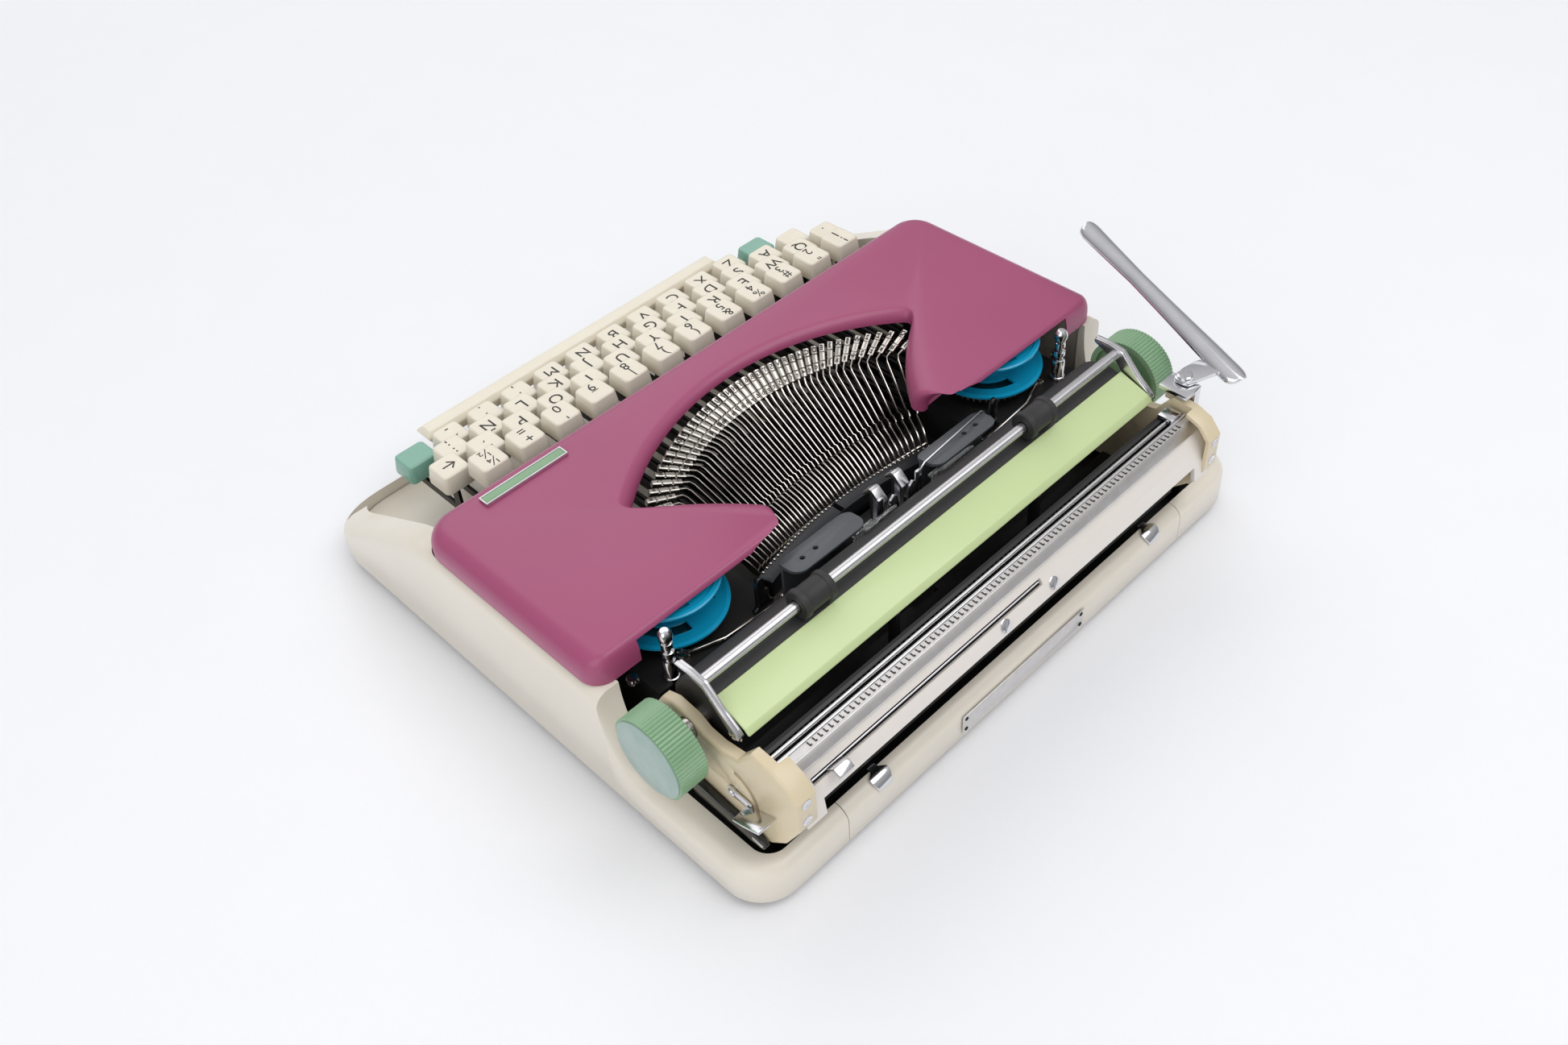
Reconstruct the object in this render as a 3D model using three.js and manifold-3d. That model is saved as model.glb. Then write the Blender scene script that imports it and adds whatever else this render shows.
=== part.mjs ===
// Flat portable typewriter, built as an assembly of named pieces.
// Millimetres. +X is the typist's right, +Y the rear, +Z up; the feet stand on Z = 0.
import * as THREE from "three";
import { mergeVertices } from "three/addons/utils/BufferGeometryUtils.js";
import ManifoldModule from "manifold-3d";

// ---------------------------------------------------------------- driving dimensions
const GAP = 0.3;                         // running clearance left between neighbouring pieces

const key = {
  pitch: 19, topWidth: 13, bottomWidth: 15.2, height: 9, corner: 3.2,
  stem: 5, leverWidth: 1.4, leverBottom: 19.6, leverTop: 23.4, pivotY: 58, pivotZ: 21.5,
};
// Each rank: height of the key tops, distance along Y, X of its first type key and how many there are.
const ranks = {
  numbers: { y: -68, top: 60.6, firstX: -114.5, count: 12, sample: 5 },
  upper: { y: -85.5, top: 52.2, firstX: -105, count: 11, sample: 4 },
  home: { y: -103, top: 43.8, firstX: -98, count: 11, sample: 4 },
  lower: { y: -120.5, top: 35.4, firstX: -88.5, count: 10, sample: 4 },
};
const spaceBar = {
  halfLength: 89.5, front: -139.6, rear: -129.4, top: 33, height: 8,
  arms: [-73, 79], armLow: 10, armHeight: 3, pivotY: 20,
};
const shiftKey = { x: [-107.5, 101.5], width: 17 };
const endKey = { width: 14.6, shift: 0.6 };  // margin release: width, and how far it sits inwards
const keyboardHalf = key.pitch - ranks.upper.firstX - endKey.shift + endKey.width / 2;

const cheek = { width: 13.4, keyGap: 0.9 };
const body = {
  halfWidth: keyboardHalf + cheek.keyGap + cheek.width,
  front: -142, rear: 139.5, bottom: 3.6, wall: 3,
  frontRadius: 30, rearRadius: 17, rimHeight: 11, deckTop: 60, deckFront: -50, deckRear: 61.5,
  ledgeTop: 22.5, ledgeDepth: 6.5, ledgeWidth: 11, lipDepth: 3.4, seam: 101,
};
const foot = { radius: 8, height: 3, sideInset: 29, frontInset: 30, rearInset: 27.5 };
const plate = { thickness: 1.5 };
const cover = {
  halfWidth: body.halfWidth - 2, front: -47, rear: 59.5, bottom: body.deckTop + GAP, top: 72, skin: 2,
  cornerRadius: 14, edgeRadius: 9,
  archRadius: 122, archFront: -23.5, notchHalfWidth: 82, tipHalfWidth: 44,
  badgeLength: 40, badgeDepth: 5.5, badgeSideInset: 25, badgeFrontInset: 9,
};
const basket = {
  bars: 44, sweep: 84, centreY: 97, restRadius: 110, restHeight: 64, barLength: 58,
  barWidth: 1, barHeight: 2.6, slugLength: 13, slugWidth: 3.1, slugDepth: 2.8,
};
const platen = { y: 93.9, z: 59.5, radius: 15, shaft: 4, strikeAngle: 36 };
const carriage = {
  centre: 10, halfInside: 115.6, plate: 4.6, endGap: 2.6,
  base: 24.6, knobGap: 9.3, knobWidth: 10, knobRadius: 16.6,
};
const releasePin = { y: 114.3, z: 42.9, radius: 1.9 };
const bail = { y: 96.5, z: 80.5, rod: 2.15, roller: 5.8, rollerLength: 15, rollerX: 62, arm: 1.3,
  pivotY: 112, pivotZ: 66, endGap: 2 };
const spool = { x: 93.5, y: 39.5, radius: 24.5, core: 10, bore: 3.4, low: 52, high: 66.6, flange: 1.2 };
const ribbonPost = { x: body.halfWidth - 32, y: 63.8 };
const deck = { low: 27.2, thickness: 1.4, high: 44, sideX: 119.4, sideThickness: 2 };

// ---------------------------------------------------------------- solid helpers
const wasm = await ManifoldModule();
wasm.setup();

/** Turn a closed three.js geometry into a manifold solid. */
function solid(geometry) {
  const bare = geometry.clone();
  bare.deleteAttribute("normal");
  bare.deleteAttribute("uv");
  const merged = mergeVertices(bare, 1e-4);
  return new wasm.Manifold(new wasm.Mesh({
    numProp: 3,
    vertProperties: new Float32Array(merged.attributes.position.array),
    triVerts: new Uint32Array(merged.index.array),
  }));
}

/** Turn a manifold solid back into a flat-shaded three.js geometry. */
function geometryOf(manifold) {
  const mesh = manifold.getMesh();
  const geometry = new THREE.BufferGeometry();
  const positions = new Float32Array(mesh.numVert * 3);
  for (let i = 0; i < mesh.numVert; i += 1) {
    for (let axis = 0; axis < 3; axis += 1) {
      positions[i * 3 + axis] = mesh.vertProperties[i * mesh.numProp + axis];
    }
  }
  geometry.setAttribute("position", new THREE.BufferAttribute(positions, 3));
  geometry.setIndex(Array.from(mesh.triVerts));
  return geometry;
}

const join = (...parts) => parts.flat().reduce((sum, part) => sum.add(part));
const cut = (blank, ...tools) => tools.flat().reduce((rest, tool) => rest.subtract(tool), blank);

/** Axis-aligned block from two opposite corners. */
function block(x0, x1, y0, y1, z0, z1) {
  const geometry = new THREE.BoxGeometry(x1 - x0, y1 - y0, z1 - z0);
  geometry.translate((x0 + x1) / 2, (y0 + y1) / 2, (z0 + z1) / 2);
  return solid(geometry);
}

function extruded(shape, depth, segments = 6) {
  return new THREE.ExtrudeGeometry(shape, { depth, bevelEnabled: false, curveSegments: segments });
}

function polygon(points) {
  return new THREE.Shape(points.map(([u, v]) => new THREE.Vector2(u, v)));
}

/** Plan outline (X, Y) raised from z0 to z1. */
function slab(shape, z0, z1, segments) {
  const geometry = extruded(shape, z1 - z0, segments);
  geometry.translate(0, 0, z0);
  return solid(geometry);
}

/** Side profile (Y, Z) carried from x0 to x1. */
function rail(shape, x0, x1, segments) {
  const geometry = extruded(shape, x1 - x0, segments);
  geometry.applyMatrix4(new THREE.Matrix4().makeBasis(
    new THREE.Vector3(0, 1, 0), new THREE.Vector3(0, 0, 1), new THREE.Vector3(1, 0, 0)));
  geometry.translate(x0, 0, 0);
  return solid(geometry);
}

/** Front profile (X, Z) carried from y0 to y1. */
function bridge(shape, y0, y1, segments) {
  const geometry = extruded(shape, y1 - y0, segments);
  geometry.applyMatrix4(new THREE.Matrix4().makeBasis(
    new THREE.Vector3(1, 0, 0), new THREE.Vector3(0, 0, 1), new THREE.Vector3(0, -1, 0)));
  geometry.translate(0, y1, 0);
  return solid(geometry);
}

/** Round bar along X. */
function barX(radius, x0, x1, y, z, sides = 16) {
  const geometry = new THREE.CylinderGeometry(radius, radius, x1 - x0, sides);
  geometry.rotateZ(Math.PI / 2);
  geometry.translate((x0 + x1) / 2, y, z);
  return solid(geometry);
}

/** Round bar along Z. */
function barZ(radius, z0, z1, x, y, sides = 16) {
  const geometry = new THREE.CylinderGeometry(radius, radius, z1 - z0, sides);
  geometry.rotateX(Math.PI / 2);
  geometry.translate(x, y, (z0 + z1) / 2);
  return solid(geometry);
}

/** Turned ring: profile of (radius, height) points spun about Z. */
function turned(points, sides = 24) {
  const closed = [...points, points[0]].map(([r, h]) => new THREE.Vector2(r, h));
  const geometry = new THREE.LatheGeometry(closed, sides);
  geometry.rotateX(Math.PI / 2);
  return solid(geometry);
}

/** Rectangle with its own radius at the front and the rear corners. */
function roundedPlan(halfWidth, front, rear, frontRadius, rearRadius) {
  const shape = new THREE.Shape();
  shape.moveTo(-halfWidth + frontRadius, front);
  shape.lineTo(halfWidth - frontRadius, front);
  shape.absarc(halfWidth - frontRadius, front + frontRadius, frontRadius, -Math.PI / 2, 0);
  shape.lineTo(halfWidth, rear - rearRadius);
  shape.absarc(halfWidth - rearRadius, rear - rearRadius, rearRadius, 0, Math.PI / 2);
  shape.lineTo(-halfWidth + rearRadius, rear);
  shape.absarc(-halfWidth + rearRadius, rear - rearRadius, rearRadius, Math.PI / 2, Math.PI);
  shape.lineTo(-halfWidth, front + frontRadius);
  shape.absarc(-halfWidth + frontRadius, front + frontRadius, frontRadius, Math.PI, 1.5 * Math.PI);
  return shape;
}

const mirrored = (part) => part.mirror([1, 0, 0]);
const radians = THREE.MathUtils.degToRad;

// ---------------------------------------------------------------- assembly bookkeeping
const colours = {
  cream: 0xe4dccf, magenta: 0xac5a7d, lime: 0xcfe0af, cyan: 0x00a0c8, green: 0x7dba8c,
  teal: 0x8cb9a5, chrome: 0xc8c8cc, black: 0x18181a, rubber: 0x202022, steel: 0xa0a0a4,
};
const metals = ["chrome", "steel"];
const machine = new THREE.Group();
machine.name = "typewriter";
const fixed = new THREE.Group();
const slidingCarriage = new THREE.Group();
slidingCarriage.position.x = carriage.centre;
machine.add(fixed, slidingCarriage);

/** Add one named piece to a group of the machine. */
function add(name, part, colour, group = fixed) {
  const metal = metals.includes(colour);
  const material = new THREE.MeshStandardMaterial({
    color: colours[colour],
    metalness: metal ? 1 : 0,
    roughness: metal ? 0.2 : 0.45,
  });
  const mesh = new THREE.Mesh(geometryOf(part), material);
  mesh.name = name;
  group.add(mesh);
}

// ---------------------------------------------------------------- body shell
/** Side outline of the body; inset lowers the top skin and pulls in both ends. */
function bodyProfile(inset) {
  const slope = (body.deckTop - body.rimHeight) / (body.deckFront - body.front);
  const points = [
    [body.front - 1 + inset, -5],
    [body.front - 1 + inset, body.rimHeight - inset + slope * (inset - 1)],
    [body.deckFront + inset / 2, body.deckTop - inset],
    [body.deckRear - inset, body.deckTop - inset],
    [body.deckRear + 1.5 - inset, 50 - inset],
    [body.deckRear + 4 - inset, 40 - inset],
    [body.deckRear + 8 - inset, 31 - inset],
    [body.deckRear + 14 - inset, 25.5 - inset],
    [body.deckRear + 24 - inset, body.ledgeTop - inset],
    [body.rear + 1 - inset, body.ledgeTop - inset],
    [body.rear + 1 - inset, -5],
  ];
  return polygon(points);
}

function buildBody() {
  const { halfWidth, front, rear, wall, frontRadius, rearRadius } = body;
  const outer = slab(roundedPlan(halfWidth, front, rear, frontRadius, rearRadius), body.bottom, 80)
    .intersect(rail(bodyProfile(0), -200, 200));
  const hollow = slab(roundedPlan(halfWidth - wall, front + wall, rear - wall,
    frontRadius - wall, rearRadius - wall), -1, 80).intersect(rail(bodyProfile(wall), -200, 200));
  const well = slab(roundedPlan(halfWidth - cheek.width, front + body.lipDepth, -30, 26, 2), 5, 90);
  const underCover = slab(roundedPlan(halfWidth - wall, -44, 57, 8, 8), 30, 90);
  const bayHalf = halfWidth - body.ledgeWidth;
  const carriageBay = slab(roundedPlan(bayHalf, 50, rear - body.ledgeDepth, 2, 8), 10, 90);
  const shell = cut(outer, hollow, well, underCover, carriageBay);
  const rearBox = (half) => block(-half, half, 125, 150, 0, 40);
  add("base_shell", cut(shell, rearBox(body.seam + GAP)), "cream");
  add("rear_panel", shell.intersect(rearBox(body.seam)), "cream");

  const inset = wall + GAP;
  const floor = roundedPlan(halfWidth - inset, front + inset, rear - inset,
    frontRadius - inset, rearRadius - inset);
  const floorBottom = foot.height + GAP;
  add("bottom_plate", slab(floor, floorBottom, floorBottom + plate.thickness, 4), "black");
  const footRows = { front: front + foot.frontInset, rear: rear - foot.rearInset };
  for (const [row, y] of Object.entries(footRows)) {
    for (const [side, sign] of [["left", -1], ["right", 1]]) {
      const x = sign * (halfWidth - foot.sideInset);
      add(`foot_${row}_${side}`, barZ(foot.radius, 0, foot.height, x, y), "rubber");
    }
  }
  add("rear_nameplate", block(-34, 40, rear + 0.05 + GAP, rear + 1.2, 8, 18), "chrome");
  const clip = rail(polygon([[134, 22.8], [138, 22.8], [138, 24], [136, 24.4], [135.6, 28], [134.6, 28]]),
    77, 87);
  add("rear_clip_right", clip, "chrome");
  add("rear_clip_left", mirrored(clip), "chrome");
}

// ---------------------------------------------------------------- ribbon cover
/** Plan outline of the opening over the type basket, open to the rear. */
function notchShape(extra) {
  const { archRadius, archFront, notchHalfWidth, tipHalfWidth, rear } = cover;
  const centreY = archFront + archRadius;
  const reach = Math.asin(notchHalfWidth / archRadius);
  const shape = new THREE.Shape();
  shape.absarc(0, centreY, archRadius + extra, -Math.PI / 2 - reach, -Math.PI / 2 + reach);
  shape.lineTo(tipHalfWidth + extra, rear);
  shape.lineTo(tipHalfWidth + extra, rear + 20);
  shape.lineTo(-tipHalfWidth - extra, rear + 20);
  shape.lineTo(-tipHalfWidth - extra, rear);
  return shape;
}

/** Dome of the cover: plan outline with its long edges rounded over, shrunk by inset. */
function coverBlank(inset) {
  const { halfWidth, front, rear, bottom, top, cornerRadius, edgeRadius } = cover;
  const plan = roundedPlan(halfWidth - inset, front + inset, rear + (inset > 0 ? 5 : 0),
    cornerRadius - inset, 5);
  const low = inset > 0 ? bottom - 5 : bottom;
  const back = rear + (inset > 0 ? 5 : 0);
  const rounded = (start, end, roundEnd) => {
    const r = edgeRadius;
    const shape = new THREE.Shape();
    shape.moveTo(start, low);
    shape.lineTo(end, low);
    shape.lineTo(end, top - inset - roundEnd);
    shape.absarc(end - roundEnd, top - inset - roundEnd, roundEnd, 0, Math.PI / 2);
    shape.lineTo(start + r, top - inset);
    shape.absarc(start + r, top - inset - r, r, Math.PI / 2, Math.PI);
    return shape;
  };
  return slab(plan, low, top, 5)
    .intersect(rail(rounded(front + inset, back, 3), -200, 200, 4))
    .intersect(bridge(rounded(-halfWidth + inset, halfWidth - inset, edgeRadius), -200, 200, 4));
}

function buildCover() {
  const shell = cut(coverBlank(0), coverBlank(cover.skin), slab(notchShape(0), 40, 90, 16));
  add("ribbon_cover", shell, "magenta");
  const barRight = cover.halfWidth - cover.badgeSideInset;
  const barFront = cover.front + cover.badgeFrontInset;
  add("cover_badge_bar", block(barRight - cover.badgeLength, barRight, barFront, barFront + cover.badgeDepth,
    cover.top + GAP, cover.top + 1.6), "chrome");
}

// ---------------------------------------------------------------- keyboard
/** Keycap: a block that narrows towards its softly cornered top. */
function keycap(x, y, top, bottomWidth = key.bottomWidth, bottomDepth = key.bottomWidth) {
  const ring = (width, depth, corner, z) => {
    const w = width / 2;
    const d = depth / 2;
    const c = corner;
    return [[w, -d + c], [w, d - c], [w - c, d], [-w + c, d], [-w, d - c], [-w, -d + c],
      [-w + c, -d], [w - c, -d]].map(([px, py]) => [x + px, y + py, z]);
  };
  const shrink = key.bottomWidth - key.topWidth;
  const low = ring(bottomWidth, bottomDepth, key.corner * 0.7, top - key.height);
  const high = ring(bottomWidth - shrink, bottomDepth - shrink, key.corner, top);
  const count = low.length;
  const index = [];
  for (let i = 0; i < count; i += 1) {
    const next = (i + 1) % count;
    index.push(i, next, count + next, i, count + next, count + i);
  }
  for (let i = 1; i < count - 1; i += 1) {
    index.push(0, i + 1, i, count, count + i, count + i + 1);
  }
  return new wasm.Manifold(new wasm.Mesh({
    numProp: 3,
    vertProperties: new Float32Array([...low, ...high].flat()),
    triVerts: new Uint32Array(index),
  }));
}

/** Lever under a key: a flat bar to the pivot with a stem up into the cap. */
function lever(x, y, top) {
  const { pivotY } = key;
  const half = key.stem / 2;
  const capBottom = top - key.height;
  return rail(polygon([
    [y - half, key.leverBottom], [pivotY, key.leverBottom], [pivotY, key.leverTop],
    [y + half, key.leverTop], [y + half, capBottom + 1.5], [y - half, capBottom + 1.5],
  ]), x - key.leverWidth / 2, x + key.leverWidth / 2);
}

const completeKey = (x, y, top, width) => join(keycap(x, y, top, width), lever(x, y, top));

/** Tie bar that holds the levers of one rank together, above or below all the other levers. */
function rankTie(xs, tieY, above) {
  const half = key.leverWidth / 2;
  const [z0, z1] = above
    ? [key.leverTop + 1.4, key.leverTop + 3]
    : [key.leverBottom - 3.6, key.leverBottom - 1.6];
  const bar = block(xs[0] - half, xs[xs.length - 1] + half, tieY, tieY + 2, z0, z1);
  const risers = xs.map((x) => block(x - half, x + half, tieY, tieY + 2,
    Math.min(z0 + 0.5, key.leverTop - 1), Math.max(z1 - 0.5, key.leverBottom + 1)));
  return join(bar, risers);
}

function buildKeyboard() {
  const ties = { numbers: [53, true], upper: [53, false], home: [46, true], lower: [46, false] };
  for (const [rank, { y, top, firstX, count, sample }] of Object.entries(ranks)) {
    const xs = Array.from({ length: count }, (_, i) => firstX + i * key.pitch);
    add(`key_sample_${rank}`, completeKey(xs[sample], y, top), "cream");
    const rest = xs.filter((_, i) => i !== sample);
    const [tieY, above] = ties[rank];
    add(`keys_${rank}`, join(rest.map((x) => completeKey(x, y, top)), rankTie(rest, tieY, above)), "cream");
  }
  const { upper, home, lower } = ranks;
  const upperEnd = upper.firstX + upper.count * key.pitch;
  const marginX = upper.firstX - key.pitch + endKey.shift;
  add("key_margin_release", completeKey(marginX, upper.y, upper.top, endKey.width), "cream");
  add("key_backspace", completeKey(upperEnd, upper.y, upper.top), "cream");
  add("key_shift_lock", completeKey(home.firstX - key.pitch, home.y, home.top), "cream");
  for (const [side, x] of [["left", shiftKey.x[0]], ["right", shiftKey.x[1]]]) {
    add(`key_shift_${side}`, completeKey(x, lower.y, lower.top, shiftKey.width), "teal");
  }
  const { halfLength, front, rear, height } = spaceBar;
  const top = spaceBar.top;
  const depth = (rear - front) / 2;
  const bar = bridge(polygon([
    [-halfLength + 3, top - height], [halfLength - 3, top - height], [halfLength, top - 2.5],
    [halfLength - 2, top], [-halfLength + 2, top], [-halfLength, top - 2.5],
  ]), front, rear).intersect(rail(polygon([
    [front + 1.2, top - height], [rear - 1.2, top - height], [rear, top - 3], [rear - 1.6, top],
    [front + 2.4, top], [front, top - 2.5],
  ]), -100, 100));
  const { arms: armXs, armLow, armHeight, pivotY } = spaceBar;
  const armTop = armLow + armHeight;
  const armProfile = polygon([
    [front + 3.1, top - height + 1], [front + 3.1, armLow], [pivotY, armLow], [pivotY, key.leverTop],
    [pivotY - 5, key.leverTop], [pivotY - 5, armTop], [rear - 2, armTop], [rear - 2, top - height + 1],
  ]);
  const halfArm = key.leverWidth / 2;
  const arms = armXs.map((x) => rail(armProfile, x - halfArm, x + halfArm));
  const tie = block(...armXs, pivotY - 5, pivotY - 2.5, armLow, armTop);
  add("space_bar", join(bar, arms, tie), "cream");
}

// ---------------------------------------------------------------- type basket
const strike = {
  y: platen.y - platen.radius * Math.cos(radians(platen.strikeAngle)),
  z: platen.z + platen.radius * Math.sin(radians(platen.strikeAngle)),
};

/** Pivot and placing matrix of the typebar at a given angle round the fan. */
function typebarFrame(angle) {
  const rest = new THREE.Vector3(basket.restRadius * Math.sin(angle),
    basket.centreY - basket.restRadius * Math.cos(angle), basket.restHeight);
  const target = new THREE.Vector3(0, strike.y, strike.z);
  const middle = rest.clone().add(target).multiplyScalar(0.5);
  const span = target.clone().sub(rest);
  const half = span.length() / 2;
  const side = new THREE.Vector3(-span.y, span.x, 0).normalize();
  const drop = new THREE.Vector3().crossVectors(span, side).normalize();
  if (drop.z > 0) drop.negate();
  const pivot = middle.addScaledVector(drop, Math.sqrt(basket.barLength ** 2 - half ** 2));
  const along = rest.clone().sub(pivot).normalize();
  const face = new THREE.Vector3().crossVectors(along, side).normalize();
  if (face.z < 0) {
    face.negate();
    side.negate();
  }
  const place = new THREE.Matrix4().makeBasis(along, side, face).setPosition(pivot);
  return { place, hinge: pivot.clone().addScaledVector(face, -1 - basket.barHeight / 2) };
}

/** One typebar lying at rest, from start mm past its pivot to the type slug at its end. */
function typebar(angle, start) {
  const { place } = typebarFrame(angle);
  const { barLength, barWidth, barHeight, slugLength, slugWidth, slugDepth } = basket;
  const end = barLength - slugLength / 2 + 3;
  const bar = new THREE.BoxGeometry(end - start, barWidth, barHeight);
  bar.translate((end + start) / 2, 0, -barHeight / 2 - 1);
  const slug = new THREE.BoxGeometry(slugLength, slugWidth, slugDepth);
  slug.translate(barLength, 0, -slugDepth / 2);
  return join(solid(bar.applyMatrix4(place)), solid(slug.applyMatrix4(place)));
}

const barAngle = (i) => radians(-basket.sweep / 2 + (basket.sweep * i) / (basket.bars - 1));
const sampleBar = 23;                    // the typebar that has a key and a joint of its own

function buildBasket() {
  const bars = [];
  const wire = [];
  for (let i = 0; i < basket.bars; i += 1) {
    wire.push(typebarFrame(barAngle(i)).hinge);
    if (i !== sampleBar) bars.push(typebar(barAngle(i), -1));
  }
  const links = [];
  for (let i = 0; i < wire.length - 1; i += 4) {
    const start = wire[i];
    const end = wire[Math.min(i + 4, wire.length - 1)];
    const middle = start.clone().add(end).multiplyScalar(0.5);
    const link = new THREE.BoxGeometry(start.distanceTo(end) + 0.5, 1.2, 1.8);
    link.rotateZ(Math.atan2(end.y - start.y, end.x - start.x));
    link.translate(middle.x, middle.y, middle.z);
    links.push(solid(link));
  }
  add("typebar_bank", join(bars, links), "steel");
  add("typebar_sample", typebar(barAngle(sampleBar), 1.6), "steel");
  const ring = (inner, outer, reach) => {
    const shape = new THREE.Shape();
    const centre = (basket.centreY + strike.y) / 2;
    shape.absarc(0, centre, outer, -Math.PI / 2 - reach, -Math.PI / 2 + reach);
    shape.absarc(0, centre, inner, -Math.PI / 2 + reach, -Math.PI / 2 - reach, true);
    return shape;
  };
  const floorZ = deck.low + deck.thickness + GAP;
  const segment = slab(ring(44, 51.5, radians(44)), floorZ, 60, 10)
    .intersect(rail(polygon([[20, 0], [80, 0], [80, 36.5], [46, 35.6], [36, 31.8], [20, 31.8]]), -80, 80));
  add("type_segment", segment, "black");
}

// ---------------------------------------------------------------- fixed mechanism frame and ribbon gear
function buildFrame() {
  const floorTop = foot.height + GAP + plate.thickness + GAP;
  const sideProfile = polygon([[-30, floorTop], [127, floorTop], [127, 23.4], [69, 23.4], [66.5, 45.4],
    [12, 45.4], [-8, 30], [-30, 27]]);
  const { sideX, sideThickness, low, thickness, high } = deck;
  const sides = [-sideX - sideThickness, sideX].map((x) => rail(sideProfile, x, x + sideThickness));
  const lowDeck = block(-sideX, sideX, 26, 66, low, low + thickness);
  const fulcrum = block(-sideX, sideX, key.pivotY + GAP, key.pivotY + 2.3, floorTop, low + 1);
  const highDecks = [block(62, sideX + 1, 12, 66.5, high, high + thickness),
    block(-sideX - 1, -62, 12, 66.5, high, high + thickness)];
  const webs = [-64, 62].map((x) => block(x, x + 2, 30, 66, low + 1, high + 1));
  const breast = cut(block(-63, 63, 62.5, 64.5, low + 1, 44), block(-14, 14, 60, 70, 36, 50));
  const spindles = [-1, 1].map((s) => barZ(3, high + 1, 62, s * spool.x, spool.y, 12));
  const studs = [-1, 1].map((s) => barZ(1.5, high + 1, 50, s * ribbonPost.x, ribbonPost.y, 8));
  const [leftArm, rightArm] = spaceBar.arms;
  const armSide = key.leverWidth / 2 + GAP;
  const { pivotY: barPivotY, armLow } = spaceBar;
  const crossTop = armLow - 2 * GAP;
  const crossBar = block(-sideX, sideX, barPivotY - 2, barPivotY + 3, floorTop, crossTop);
  const lug = (x0) => block(x0, x0 + 1.3, barPivotY - 1.6, barPivotY + 1.6, crossTop - 0.4, key.leverTop);
  const lugs = [lug(leftArm - armSide - 1.3), lug(rightArm + armSide)];
  add("mechanism_frame", join(sides, lowDeck, fulcrum, highDecks, webs, breast, spindles, studs,
    crossBar, lugs), "black");

  const base = high + thickness + GAP;
  const { radius, core, bore, low: z0, high: z1, flange } = spool;
  const profile = [[bore, base], [core - 3, base], [core - 3, z0], [radius, z0], [radius, z0 + flange],
    [core, z0 + flange], [core, z1 - flange], [radius, z1 - flange], [radius, z1], [bore, z1]];
  for (const [side, sign] of [["left", -1], ["right", 1]]) {
    add(`ribbon_spool_${side}`, turned(profile).translate([sign * spool.x, spool.y, 0]), "cyan");
    const post = turned([[1.8, base], [2.8, base], [2.8, 50], [2.1, 51], [2.1, 66], [2.8, 67], [2.8, 71],
      [1.8, 71.4]], 12).translate([sign * ribbonPost.x, ribbonPost.y, 0]);
    const guide = cut(join(post, barZ(2.2, 51.5, 71.2, sign * ribbonPost.x, ribbonPost.y, 12)));
    add(`ribbon_post_${side}`, guide, "chrome");
  }
  const guideProfile = polygon([[65.2, 44.3], [67.2, 44.3], [67.2, 50], [72.4, 58], [73.4, 66], [71.6, 66],
    [70.4, 59], [65.2, 51]]);
  const cardGuide = rail(guideProfile, 20, 58);
  add("card_guide_right", cardGuide, "black");
  add("card_guide_left", mirrored(cardGuide), "black");
  const prong = bridge(polygon([[3.4, 36.3], [7.6, 36.3], [7.6, 64], [6.4, 66.5], [4.6, 66.5], [3.4, 64]]),
    74, 75.2);
  const yoke = block(-13.4, 13.4, 65.2, 75.2, 36.3, 38.3);
  add("type_guide", join(prong, mirrored(prong), yoke), "chrome");
  const arm = bridge(polygon([[9.4, 42], [12.4, 42], [12.4, 67], [9.4, 67]]), 72.2, 73.4);
  const cross = block(-12.4, 12.4, 72.2, 73.4, 40, 43);
  add("ribbon_vibrator", join(arm, mirrored(arm), cross), "chrome");
}

// ---------------------------------------------------------------- carriage
const addMoving = (name, part, colour) => add(name, part, colour, slidingCarriage);

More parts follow.
